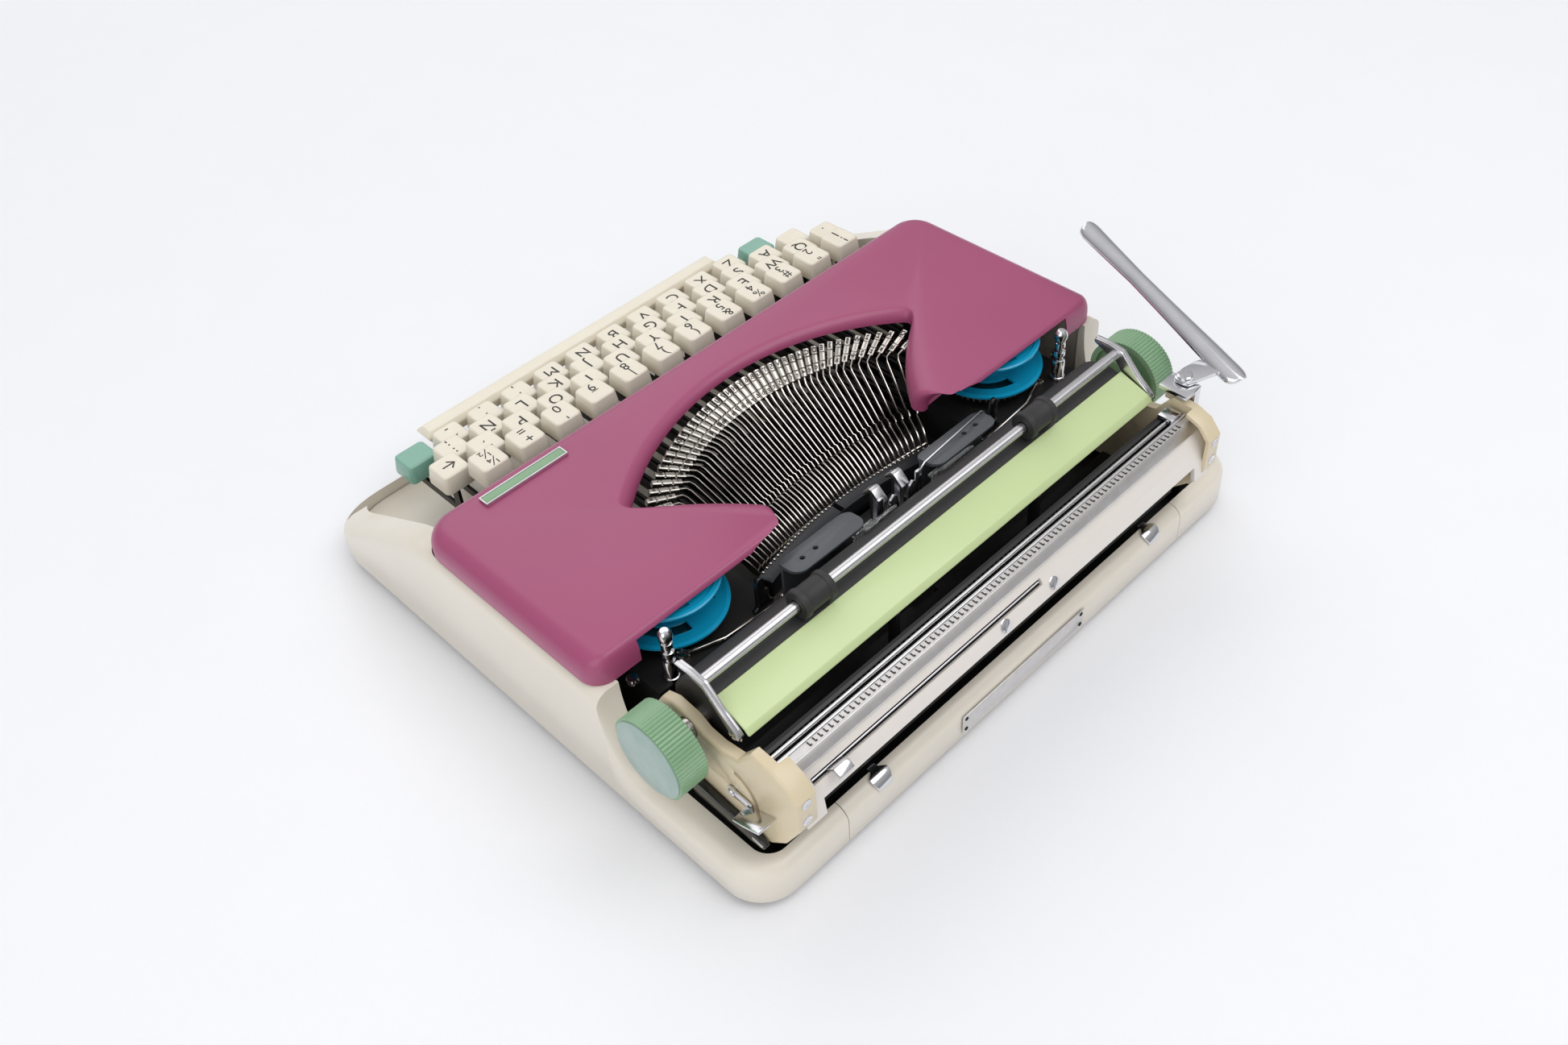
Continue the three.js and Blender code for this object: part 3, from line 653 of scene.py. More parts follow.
# ---- finishes
def linear(colour: str) -> tuple[float, float, float, float]:
    """Turn an sRGB hex colour into linear red, green, blue and alpha.

    Args:
        colour: the colour as #rrggbb.

    Returns:
        The four linear values.
    """
    values = [int(colour[i:i + 2], 16) / 255 for i in (1, 3, 5)]
    bent = [v / 12.92 if v <= 0.04045 else ((v + 0.055) / 1.055) ** 2.4 for v in values]
    return bent[0], bent[1], bent[2], 1.0


def add_node(tree: NodeTree, kind: str, inputs: dict[str, object] | None = None,
             **settings: object) -> bpy.types.Node:
    """Add one shader node; an input given as a socket is linked, and any other value is set.

    Args:
        tree: the material's node tree.
        kind: the node's type.
        inputs: values or sockets by input name.
        settings: the node's own properties.

    Returns:
        The new node.
    """
    node = tree.nodes.new(kind)
    for key, value in settings.items():
        setattr(node, key, value)
    for key, value in (inputs or {}).items():
        socket = node.inputs[key]
        if isinstance(value, bpy.types.NodeSocket):
            tree.links.new(value, socket)
        else:
            socket.default_value = value
    return node


@dataclass(frozen=True)
class Finish:
    """A surface finish: a base colour that varies a little, and a fine relief.

    Grain is the size in millimetres of the fine relief, and cloud that of slow changes of tone.
    """

    name: str
    colour: str
    shade: str
    roughness: float
    metallic: float = 0.0
    ior: float = 1.5
    coat: float = 0.0
    coat_roughness: float = 0.08
    grain: float = 1.2
    relief: float = 0.02
    cloud: float = 40.0
    stretch: Point3 = (1.0, 1.0, 1.0)
    dust: float = 0.35
    transmission: float = 0.0

    def material(self) -> Material:
        """Build the finish as a node material on Object coordinates.

        Returns:
            The new material.
        """
        material = bpy.data.materials.new(self.name)
        material.use_nodes = True
        tree = material.node_tree
        tree.nodes.clear()
        place = add_node(tree, "ShaderNodeTexCoord").outputs["Object"]
        grain_place = add_node(tree, "ShaderNodeMapping", {"Vector": place, "Scale": self.stretch})
        clouds = add_node(tree, "ShaderNodeTexNoise",
                          {"Vector": place, "Scale": 1 / (self.cloud * MM), "Detail": 3.0})
        fine = add_node(tree, "ShaderNodeTexNoise",
                        {"Vector": grain_place.outputs["Vector"], "Scale": 1 / (self.grain * MM),
                         "Detail": 2.0})
        tone = add_node(tree, "ShaderNodeMapRange",
                        {"Value": clouds.outputs["Fac"], "From Min": 0.3, "From Max": 0.7,
                         "To Min": 0.0, "To Max": self.dust})
        colour = add_node(tree, "ShaderNodeMix",
                          {"Factor": tone.outputs["Result"], "A": linear(self.colour),
                           "B": linear(self.shade)}, data_type="RGBA")
        gloss = add_node(tree, "ShaderNodeMapRange",
                         {"Value": fine.outputs["Fac"], "From Min": 0.2, "From Max": 0.8,
                          "To Min": self.roughness * 0.95, "To Max": self.roughness * 1.06})
        bump = add_node(tree, "ShaderNodeBump",
                        {"Height": fine.outputs["Fac"], "Strength": 0.6, "Distance": self.relief * MM})
        shader = add_node(tree, "ShaderNodeBsdfPrincipled",
                          {"Base Color": colour.outputs["Result"], "Roughness": gloss.outputs["Result"],
                           "Normal": bump.outputs["Normal"], "Metallic": self.metallic, "IOR": self.ior,
                           "Coat Weight": self.coat, "Coat Roughness": self.coat_roughness,
                           "Transmission Weight": self.transmission})
        add_node(tree, "ShaderNodeOutputMaterial", {"Surface": shader.outputs["BSDF"]})
        return material


# Stoved alkyd enamel on pressed sheet: a soft gloss with a faint orange peel about 4 mm across.
CREAM_ENAMEL = Finish("cream_enamel", "#e8e1d4", "#e0d8c9", 0.32, coat=0.15, grain=4.0, relief=0.004)
MAGENTA_ENAMEL = Finish("magenta_enamel", "#a34b72", "#9c466c", 0.38, coat=0.1, grain=4.0, relief=0.004)
LIME_ENAMEL = Finish("lime_enamel", "#cbdca4", "#c2d39a", 0.30, coat=0.2, grain=4.0, relief=0.004)
BLACK_ENAMEL = Finish("black_enamel", "#131314", "#0b0b0c", 0.26, coat=0.3, grain=3.0, relief=0.004)
# Carriage enamel, a little yellower than the body, and the paler one of the rear cover.
IVORY_ENAMEL = Finish("ivory_enamel", "#dccdae", "#d0bf9d", 0.32, coat=0.2, grain=4.0, relief=0.004,
                      cloud=14.0)
PALE_ENAMEL = Finish("pale_enamel", "#e6e0da", "#ddd6cf", 0.30, coat=0.2, grain=4.0, relief=0.004)
# Satin black on inner castings: it swallows light and holds a little warm dust.
BLACK_CASTING = Finish("black_casting", "#101011", "#1d1a18", 0.50, grain=2.0, relief=0.02, dust=0.6,
                       cloud=12.0)
# Graphite satin on the slotted segment.
GRAPHITE_SATIN = Finish("graphite_satin", "#2c2d30", "#1f2022", 0.36, metallic=0.4, grain=2.0, relief=0.004)
# Urea moulding for the keys: dense, warm and softly polished by fingers.
CREAM_UREA = Finish("cream_urea", "#e9e2d2", "#dfd5c1", 0.26, ior=1.55, coat=0.15, grain=3.0, relief=0.003,
                    cloud=9.0)
TEAL_UREA = Finish("teal_urea", "#7fb09f", "#74a493", 0.28, ior=1.55, coat=0.15, grain=3.0, relief=0.003)
KNOB_RIM = Finish("green_knob_rim", "#86ab86", "#7a9f7c", 0.36, ior=1.55, grain=2.0, relief=0.006, cloud=8.0)
KNOB_FACE = Finish("pale_knob_face", "#a2b7b0", "#93aba2", 0.34, ior=1.55, grain=1.0, relief=0.01, cloud=5.0,
                   dust=0.7)
CYAN_STYRENE = Finish("cyan_styrene", "#12a3cf", "#0c97c3", 0.24, ior=1.59, grain=3.0, relief=0.003)
# Bright chromium over nickel; the slow tone change is handling haze.
CHROME = Finish("chrome_plate", "#dedee2", "#c9c9ce", 0.14, metallic=1.0, grain=1.5, relief=0.002, cloud=9.0)
SATIN_CHROME = Finish("satin_chrome", "#d6d5d8", "#c2c1c5", 0.26, metallic=1.0, grain=1.0, relief=0.001,
                      stretch=(0.05, 1.0, 1.0), cloud=6.0)
# Ground and hardened steel of the typebars, with a brown tinge of old oil.
TYPE_STEEL = Finish("type_steel", "#dcd7d1", "#a8a29b", 0.20, metallic=1.0, grain=0.8, relief=0.001,
                    cloud=5.0, dust=0.8)
# Cast type, its letters stained by ribbon ink.
INKED_TYPE = Finish("inked_type", "#5b5551", "#3d3936", 0.42, metallic=0.8, grain=0.6, relief=0.002,
                    cloud=3.0)
BRUSHED_PLATE = Finish("brushed_aluminium", "#dddbda", "#cfcccb", 0.36, metallic=1.0, grain=0.6,
                       relief=0.001, stretch=(0.04, 1.0, 1.0), cloud=4.0, dust=0.6)
DARK_STEEL = Finish("blued_steel", "#2f2d2d", "#1f1e1e", 0.34, metallic=1.0, grain=1.0, relief=0.002)
# Wrinkle lacquer: grains about 0.7 mm across stand proud of the plate.
CRINKLE = Finish("grey_crinkle_lacquer", "#55585d", "#43464a", 0.42, grain=0.7, relief=0.06)
PLATEN_RUBBER = Finish("ground_rubber", "#262627", "#313030", 0.55, grain=0.8, relief=0.008,
                       stretch=(0.25, 1.0, 1.0), dust=0.6)
FOOT_RUBBER = Finish("foot_rubber", "#1c1c1c", "#262626", 0.75, grain=0.8, relief=0.03)
LEGEND_INK = Finish("legend_ink", "#1a1917", "#23211e", 0.40, grain=1.0, relief=0.001)
CLEAR_ACRYLIC = Finish("clear_acrylic", "#f4f7f7", "#eef2f2", 0.06, ior=1.49, transmission=0.92,
                       grain=3.0, relief=0.001, dust=0.1)


@dataclass
class Palette:
    """The built materials, one for each finish in use."""

    built: dict[str, Material]

    def get(self, finish: Finish) -> Material:
        """Build a finish once and give its material.

        Args:
            finish: the finish to look up.

        Returns:
            Its material.
        """
        if finish.name not in self.built:
            self.built[finish.name] = finish.material()
        return self.built[finish.name]


@dataclass
class Assembly:
    """What every sub-assembly needs: the bench it is made on and the paints it is dressed in."""

    bench: Workbench
    paints: Palette

    def put(self, piece: Object, finish: Finish, body: str, slot: str, *replaced: str) -> Object:
        """Dress a piece and make it ride on its body."""
        return finish_piece(piece, self.paints.get(finish), body, slot, *replaced)


# ---- body
@dataclass
class BodyShell(Assembly):
    """Cream pressed body with sloping cheeks, keyboard well, carriage bay and rear panel."""

    half_width: float = 145.0
    front: float = -142.0
    rear: float = 139.5
    bottom: float = 3.6
    front_radius: float = 30.0
    rear_radius: float = 17.0
    wall: float = 3.0
    rim_height: float = 11.0
    deck_top: float = 60.0
    deck_front: float = -50.0
    hole_front: float = -46.0
    deck_rear: float = 61.5
    crest: float = 14.0
    scoop: float = 24.0
    ledge_top: float = 22.5
    edge_radius: float = 6.0
    cheek_width: float = 13.4
    ledge_width: float = 11.0
    ledge_depth: float = 6.5
    seam: float = 101.0

    def top_at(self, y: float) -> float:
        """Height of the body's upper surface at a distance along Y.

        Args:
            y: distance along Y.

        Returns:
            The height.
        """
        crest, scoop = self.crest, self.scoop
        slope = (self.deck_top - self.rim_height) / (self.deck_front - self.front)
        ramp = self.rim_height + slope * (y - self.front)
        if y <= self.deck_front - crest:
            return ramp
        if y <= self.deck_front + crest:
            part = (y - self.deck_front + crest) / (2 * crest)
            return ramp - slope * crest * part * part
        if y <= self.deck_rear:
            return self.deck_top
        if y >= self.deck_rear + scoop:
            return self.ledge_top
        part = 1 - (y - self.deck_rear) / scoop
        return self.ledge_top + (self.deck_top - self.ledge_top) * (1 - math.sqrt(1 - part ** 2.6))

    def stations(self) -> list[float]:
        """Places along Y where the flanks need a row of points.

        Returns:
            The places in order.
        """
        crest = [self.deck_front + self.crest * step / 7 for step in range(-7, 8, 2)]
        scoop = [self.deck_rear + self.scoop * (step / 14) ** 2 for step in range(15)]
        return [-110, -95, -80, *crest, -20, 20, 50, self.deck_rear - 0.3, *scoop, 95, 108, 120]

    def outline(self, inset: float) -> list[Point2]:
        """Plan outline moved inwards, with the same points at every inset.

        Args:
            inset: how far it is moved inwards.

        Returns:
            The points in order.
        """
        half, front, rear = self.half_width - inset, self.front + inset, self.rear - inset
        front_r = max(self.front_radius - inset, 0.5)
        rear_r = max(self.rear_radius - inset, 0.5)
        flank = self.stations()
        return (arc((half - front_r, front + front_r), front_r, -90, 0, 14)
                + [(half, y) for y in flank]
                + arc((half - rear_r, rear - rear_r), rear_r, 0, 90, 10)
                + arc((-half + rear_r, rear - rear_r), rear_r, 90, 180, 10)
                + [(-half, y) for y in reversed(flank)]
                + arc((-half + front_r, front + front_r), front_r, 180, 270, 14))

    def blank(self) -> Object:
        """Ring-shaped blank with a rolled lower edge, a rounded shoulder and a broad upper surface.

        Returns:
            The blank, open in the middle.
        """
        bottom, radius = self.bottom, self.edge_radius
        rings = [[(x, y, bottom) for x, y in self.outline(16.0)],
                 [(x, y, bottom) for x, y in self.outline(1.6)],
                 [(x, y, bottom + 0.5) for x, y in self.outline(0.5)],
                 [(x, y, bottom + 1.4) for x, y in self.outline(0.0)]]
        for step in range(9):
            turn = math.radians(step * 11.25)
            inset = radius * (1 - math.cos(turn))
            drop = radius * (1 - math.sin(turn))
            rings.append([(x, y, self.top_at(y) - drop) for x, y in self.outline(inset)])
        rings.append([(x, y, self.top_at(y)) for x, y in self.outline(16.0)])
        return self.bench.loft("body_shell", rings, ring_shaped=True)

    def build(self) -> None:
        """Build the shell, split off its rear panel, and add its small fittings."""
        bench = self.bench
        half, front, rear, wall = self.half_width, self.front, self.rear, self.wall
        shell = self.blank()
        inner = bench.prism("inner", rounded_plan(half - wall, front + wall, rear - wall,
                                                  self.front_radius - wall, self.rear_radius - wall),
                            Plane.PLAN, -5, self.ledge_top - wall)
        deck = bench.prism("deck", rounded_plan(half - wall, self.hole_front, self.deck_rear - 3, 8, 8),
                           Plane.PLAN, 10, 90)
        well = bench.prism("well", rounded_plan(half - self.cheek_width, front + 3.4, -30, 26, 2),
                           Plane.PLAN, 5, 90)
        bay = bench.prism("bay", rounded_plan(half - self.ledge_width, 50, rear - self.ledge_depth, 2, 8),
                          Plane.PLAN, 10, 90)
        for tool in (inner, deck, well, bay):
            combine(shell, tool)
        soften(shell, 1.0, 3, 48)
        panel = copy_of(shell, "rear_panel_enamelled")
        seam = self.seam
        combine(panel, bench.block("cut", (-seam, seam), (125, 150), (0, 40)), Merge.SHARED)
        combine(shell, bench.block("cut", (-seam - 0.35, seam + 0.35), (125, 150), (0, 40)))
        self.put(smooth(shell), CREAM_ENAMEL, "base", "cream_paint", "base_shell")
        self.put(smooth(panel), CREAM_ENAMEL, "base", "cream_paint", "rear_panel")
        for node in ("bottom_plate", "mechanism_frame", "carriage_rail"):
            dress_node(node, self.paints.get(BLACK_CASTING))
        self.keyboard_pan()
        self.feet()
        self.underside()
        self.rear_fittings()

    def feet(self) -> None:
        """Turned rubber feet with a chamfered rim and a recessed middle."""
        for node in ("foot_front_left", "foot_front_right", "foot_rear_left", "foot_rear_right"):
            low, high = self.bench.datum.span(node)
            radius = (high.x - low.x) / 2
            height = high.z - low.z
            profile = [(0, 1.2), (2.4, 1.2), (3.0, 0.3), (3.6, 0), (radius - 1, 0), (radius, 0.8),
                       (radius - 0.6, height), (0, height)]
            middle = (low + high) / 2
            pad = self.bench.turned(node + "_pad", profile, (middle.x, middle.y, low.z), closed=False)
            self.put(smooth(pad, 40), FOOT_RUBBER, "base", "foot_rubber", node)

    def keyboard_pan(self) -> None:
        """Cream pan under the keys, stiffened by two pressed ribs."""
        floor = self.bench.datum.span("bottom_plate")[1].z
        side, front = self.half_width - self.wall - 0.5, self.front + self.wall + 0.5
        plan = rounded_plan(side, front, self.hole_front, self.front_radius - self.wall, 2)
        pan = self.bench.prism("keyboard_pan", plan, Plane.PLAN, floor + 0.3, floor + 1.1)
        for x in (-60, 60):
            rib = [(-108, floor + 1), (-50, floor + 1), (-52, floor + 2.2), (-106, floor + 2.2)]
            combine(pan, self.bench.prism("rib", rib, Plane.SIDE, x - 2, x + 2), Merge.ADD)
        self.put(soften(pan, 0.3, 2, 40), CREAM_ENAMEL, "base", "cream_paint")

    def underside(self) -> None:
        """Pressed beads and slotted screws on the bottom plate."""
        low = self.bench.datum.span("bottom_plate")[0].z
        beads = []
        for x in (-84, -28, 28, 84):
            plan = [(x + u, v) for u, v in rounded_plan(5, -96, 96, 4.9, 4.9, 8)]
            inner = [(x + u, v) for u, v in rounded_plan(3.4, -94.4, 94.4, 3.3, 3.3, 8)]
            bead = self.bench.loft("bead", [[(u, v, low + 0.4) for u, v in plan],
                                            [(u, v, low) for u, v in plan],
                                            [(u, v, low - 0.9) for u, v in inner],
                                            [(u, v, low + 0.4) for u, v in inner]])
            beads.append(bead)
        self.put(smooth(join("bottom_plate_beads", beads), 50), BLACK_CASTING, "base", "black_paint")
        places = [(x, y) for y in (-128, 0, 124) for x in (-124, -56, 56, 124)]
        heads = [self.bench.screw("screw", (x, y, low), 3.2, 1.2, (0, 0, -1), 20 + 3 * x) for x, y in places]
        self.put(join("bottom_plate_screws", heads), TYPE_STEEL, "base", "chrome")

    def clip(self, node: str) -> None:
        """Sprung sheet clip that reaches out of the bay and over the rear ledge.

        Args:
            node: the CAD node of the clip.
        """
        low, high = self.bench.datum.span(node)
        middle = (low.x + high.x) / 2
        rear, top = self.rear, self.ledge_top
        over = arc((rear - self.edge_radius, top - self.edge_radius), self.edge_radius + 1.2, 90, 22, 8)
        under = arc((rear - self.edge_radius, top - self.edge_radius), self.edge_radius + 0.4, 22, 90, 8)
        section = [(rear - 8.4, top - 4), (rear - 7.6, top - 4), (rear - 7.4, top + 0.2), *reversed(under),
                   *reversed(over), (rear - 7.6, top + 1.2), (rear - 8.4, top + 0.4)]
        clip = self.bench.prism(node + "_sprung", section, Plane.SIDE, middle - 5, middle + 5)
        plan = [(middle - 1.8, rear - 9), (middle + 1.8, rear - 9), (middle + 2.0, rear - 5.5),
                (middle + 4.6, rear - 3.6), (middle + 4.6, rear - 1.8), (middle + 2.8, rear + 1.5),
                (middle - 2.8, rear + 1.5), (middle - 4.6, rear - 1.8), (middle - 4.6, rear - 3.6),
                (middle - 2.0, rear - 5.5)]
        combine(clip, self.bench.prism("plan", plan, Plane.PLAN, 0, 60), Merge.SHARED)
        self.put(soften(clip, 0.2, 2, 40), CHROME, "base", "chrome", node)

    def rear_fittings(self) -> None:
        """Bare riveted plate on the rear wall and the two sheet clips on the ledge."""
        low, high = self.bench.datum.span("rear_nameplate")
        plate = self.bench.block("rear_plate_bare", (low.x, high.x), (low.y, high.y - 0.3), (low.z, high.z))
        soften(plate, 0.25, 2)
        self.put(plate, BRUSHED_PLATE, "base", "chrome", "rear_nameplate")
        rivets = [self.bench.screw("rivet", (x, high.y - 0.35, z), 0.9, 0.35, (0, 1, 0))
                  for x in (low.x + 2, high.x - 2) for z in (low.z + 2, high.z - 2)]
        self.put(join("rear_plate_rivets", rivets), DARK_STEEL, "base", "chrome")
        for node in ("rear_clip_left", "rear_clip_right"):
            self.clip(node)


# ---- ribbon cover
@dataclass
class RibbonCover(Assembly):
    """Magenta pressed lid with an arched opening whose lip rolls down over the type basket."""

    half_width: float = 143.0
    front: float = -47.0
    rear: float = 60.3
    bottom: float = 60.3
    top: float = 72.0
    corner_radius: float = 14.0
    edge_radius: float = 8.5
    rear_corner: float = 9.0
    rear_roll: float = 0.4
    arch_radius: float = 122.0
    arch_front: float = -23.5
    notch_half: float = 82.0
    lip_spread: float = 5.0
    crest_end: Point2 = (41.0, 58.6)
    crest_nose: float = 6.0
    crest_blend: float = 16.0
    lip_end: Point2 = (35.2, 47.2)
    lip_nose: float = 4.2
    lip_bow: float = 3.0
    dip: Point2 = (46.5, 51.5)
    lip_front: float = 4.4
    lip_tip: float = 10.0
    skin: float = 1.5
    mouth_half: float = 122.0

    def opening(self, spread: float, end: Point2, nose_radius: float, bow: float,
                last: Point2) -> list[Point2]:
        """Plan outline of the opening at one level, always with the same number of points.

        Args:
            spread: how far the level lies outside the lip's lower edge.
            end: where the flank would meet the tip if the nose were sharp.
            nose_radius: radius of the tip's nose.
            bow: how far the middle of the flank bulges into the opening.
            last: the point behind the nose.

        Returns:
            The outline, from the left of the arch over the right tip to the left one.
        """
        reach = math.degrees(math.asin(self.notch_half / self.arch_radius))
        centre = (0.0, self.arch_front + self.arch_radius)
        front = arc(centre, self.arch_radius + spread, -90 - reach, -90 + reach, 40)
        corner = front[-1]
        away = math.atan2(corner[1] - end[1], corner[0] - end[0])
        normal = math.degrees(away) - 90
        distance = nose_radius / math.sin(-away / 2)
        middle = (end[0] + distance * math.cos(away / 2), end[1] + distance * math.sin(away / 2))
        nose = arc(middle, max(nose_radius - spread % self.lip_spread, 0.6), normal, -264, 10)
        run = Vector((nose[0][0] - corner[0], nose[0][1] - corner[1]))
        inward = Vector((-run.y, run.x)).normalized()
        side = []
        for part in (0.14, 0.28, 0.42, 0.56, 0.7, 0.84, 0.95):
            spot = Vector(corner) + run * part + inward * (4 * bow * part * (1 - part))
            side.append((spot.x, spot.y))
        before = Vector(front[-2])
        bend = [before.lerp(Vector(corner), part).lerp(Vector(corner).lerp(Vector(side[0]), part), part)
                for part in (0.25, 0.5, 0.75)]
        flank = [(spot.x, spot.y) for spot in bend] + side + nose
        far = self.crest_end[0] + 2 * self.crest_blend
        flank += [last, (far, self.rear + 1), (far, self.rear + 20)]
        return front[1:-1] + flank + [(-x, y) for x, y in reversed(flank)]

    def notch(self, part: float, extra: float = 0.0) -> list[Point2]:
        """Outline between the lip's lower edge, part 0, and its crest, part 1, made larger by extra.

        Args:
            part: where the outline lies between the two.
            extra: how far it is moved outwards.

        Returns:
            The points in order.
        """
        low = self.opening(extra, self.lip_end, self.lip_nose, self.lip_bow,
                           (self.dip[0] + extra, self.dip[1] - extra))
        end = self.crest_end
        high = self.opening(self.lip_spread + extra, end, self.crest_nose, 0.0,
                            (end[0] + self.crest_blend + extra, self.rear))
        return [(a[0] + (b[0] - a[0]) * part, a[1] + (b[1] - a[1]) * part) for a, b in zip(low, high)]

    def lip_bottom(self, y: float) -> float:
        """Height of the lip's lower edge, which hangs lower towards the tips."""
        part = (y - self.arch_front) / (self.rear - self.arch_front)
        return self.top - self.lip_front - (self.lip_tip - self.lip_front) * min(part, 1.0)

    def flared_notch(self, name: str, extra: float) -> Object:
        """Cutter for the opening that widens at the top, so that it leaves a rolled lip.

        Args:
            name: name of the piece.
            extra: how far the cutter is made larger.

        Returns:
            The cutter.
        """
        low = self.notch(0.0, extra)
        bottoms = [self.lip_bottom(y) for _, y in low]
        rings = [[(x, y, 40.0) for x, y in low]]
        for step in range(9):
            turn = math.radians(step * 11.25)
            level = self.notch(1 - math.cos(turn), extra)
            rings.append([(x, y, bottom + (self.top - bottom) * math.sin(turn))
                          for (x, y), bottom in zip(level, bottoms)])
        rings.append([(x, y, 90.0) for x, y in self.notch(1.0, extra)])
        return self.bench.loft(name, rings)

    def plan(self, inset: float, height: float) -> list[Point3]:
        """Outline of the lid at a height, rounded at all four corners and rolled less at the rear.

        Args:
            inset: how far it is moved inwards.
            height: its height.

        Returns:
            The points in order.
        """
        front_r = max(self.corner_radius - inset, 0.5)
        rear_r = max(self.rear_corner - inset, 0.5)
        outline = rounded_plan(self.half_width - inset, self.front + inset,
                               self.rear - inset * self.rear_roll, front_r, rear_r, 12)
        return [(x, y, height) for x, y in outline]

    def dome(self, name: str, inset: float, low: float, top: float, radius: float) -> Object:
        """Block with a rounded upper edge, used for the outside and for the hollow.

        Args:
            name: name of the piece.
            inset: how far its sides are moved inwards.
            low: height of its underside.
            top: height of its upper face.
            radius: radius of its upper edge.

        Returns:
            The block.
        """
        rings = [self.plan(inset, low)]
        for step in range(10):
            turn = math.radians(step * 10)
            inward, height = radius * (1 - math.cos(turn)), top - radius + radius * math.sin(turn)
            rings.append(self.plan(inset + inward, height))
        return self.bench.loft(name, rings)

    def build(self) -> None:
        """Press the lid, cut its opening with a rolled lip and hollow it."""
        lid = self.dome("cover_lid", 0.0, self.bottom, self.top, self.edge_radius)
        combine(lid, self.flared_notch("notch", 0.0))
        cavity = self.dome("cavity", self.skin, 50.0, self.top - self.skin, self.edge_radius - 1)
        combine(cavity, self.flared_notch("core", self.skin))
        combine(lid, cavity)
        around = self.notch(0.0, self.skin + 0.5)
        relief = self.bench.loft("relief", [[(x, y, 50.0) for x, y in around],
                                            [(x, y, self.lip_bottom(y) + 0.3) for x, y in around]])
        combine(lid, relief)
        sill = self.top - self.skin - 0.5
        foot, behind = self.lip_end[1] - 0.5, self.rear + 5
        mouth = [(foot, 50), (foot, self.top - self.lip_tip), (self.dip[1] + 0.8, sill), (behind, sill),
                 (behind, 50)]
        combine(lid, self.bench.prism("mouth", mouth, Plane.SIDE, -self.mouth_half, self.mouth_half))
        soften(lid, 0.6, 2, 45)
        self.put(smooth(lid, 28), MAGENTA_ENAMEL, "cover", "magenta_paint", "ribbon_cover")
        self.badge()

    def badge(self) -> None:
        """Chromed bar with a bare green inlay, where a badge would sit."""
        low, high = self.bench.datum.span("cover_badge_bar")
        bar = self.bench.block("badge_frame", (low.x, high.x), (low.y, high.y), (low.z - 0.2, high.z))
        combine(bar, self.bench.block("recess", (low.x + 0.7, high.x - 0.7), (low.y + 0.7, high.y - 0.7),
                                      (high.z - 0.4, high.z + 1)))
        self.put(soften(bar, 0.25, 2), SATIN_CHROME, "cover", "chrome", "cover_badge_bar")
        inlay = self.bench.block("badge_inlay", (low.x + 0.8, high.x - 0.8), (low.y + 0.8, high.y - 0.8),
                                 (high.z - 0.6, high.z - 0.15))
        self.put(soften(inlay, 0.15, 2), KNOB_RIM, "cover", "chrome")


# ---- keyboard
@dataclass(frozen=True)
class Rank:
    """One rank of keys, with a legend for each key; a slash parts a lower mark from an upper one."""

    name: str
    y: float
    top: float
    first_x: float
    legends: tuple[str, ...]
    sample: int


RANKS = (
    Rank("numbers", -68.0, 60.6, -114.5,
         ("1/!", '2/"', "3/#", "4/%", "5/&", "6/(", "7/)", "8/|", "9/_", "0/'", "=/+", "½/¼"), 5),
    Rank("upper", -85.5, 52.2, -105.0, tuple("QWERTYUIOP") + ("´/^",), 4),
    Rank("home", -103.0, 43.8, -98.0, tuple("ASDFGHJKLÑ") + (";/:",), 4),
    Rank("lower", -120.5, 35.4, -88.5, tuple("ZXCVBNM") + (",/?", "./:", "-/~"), 4),
)


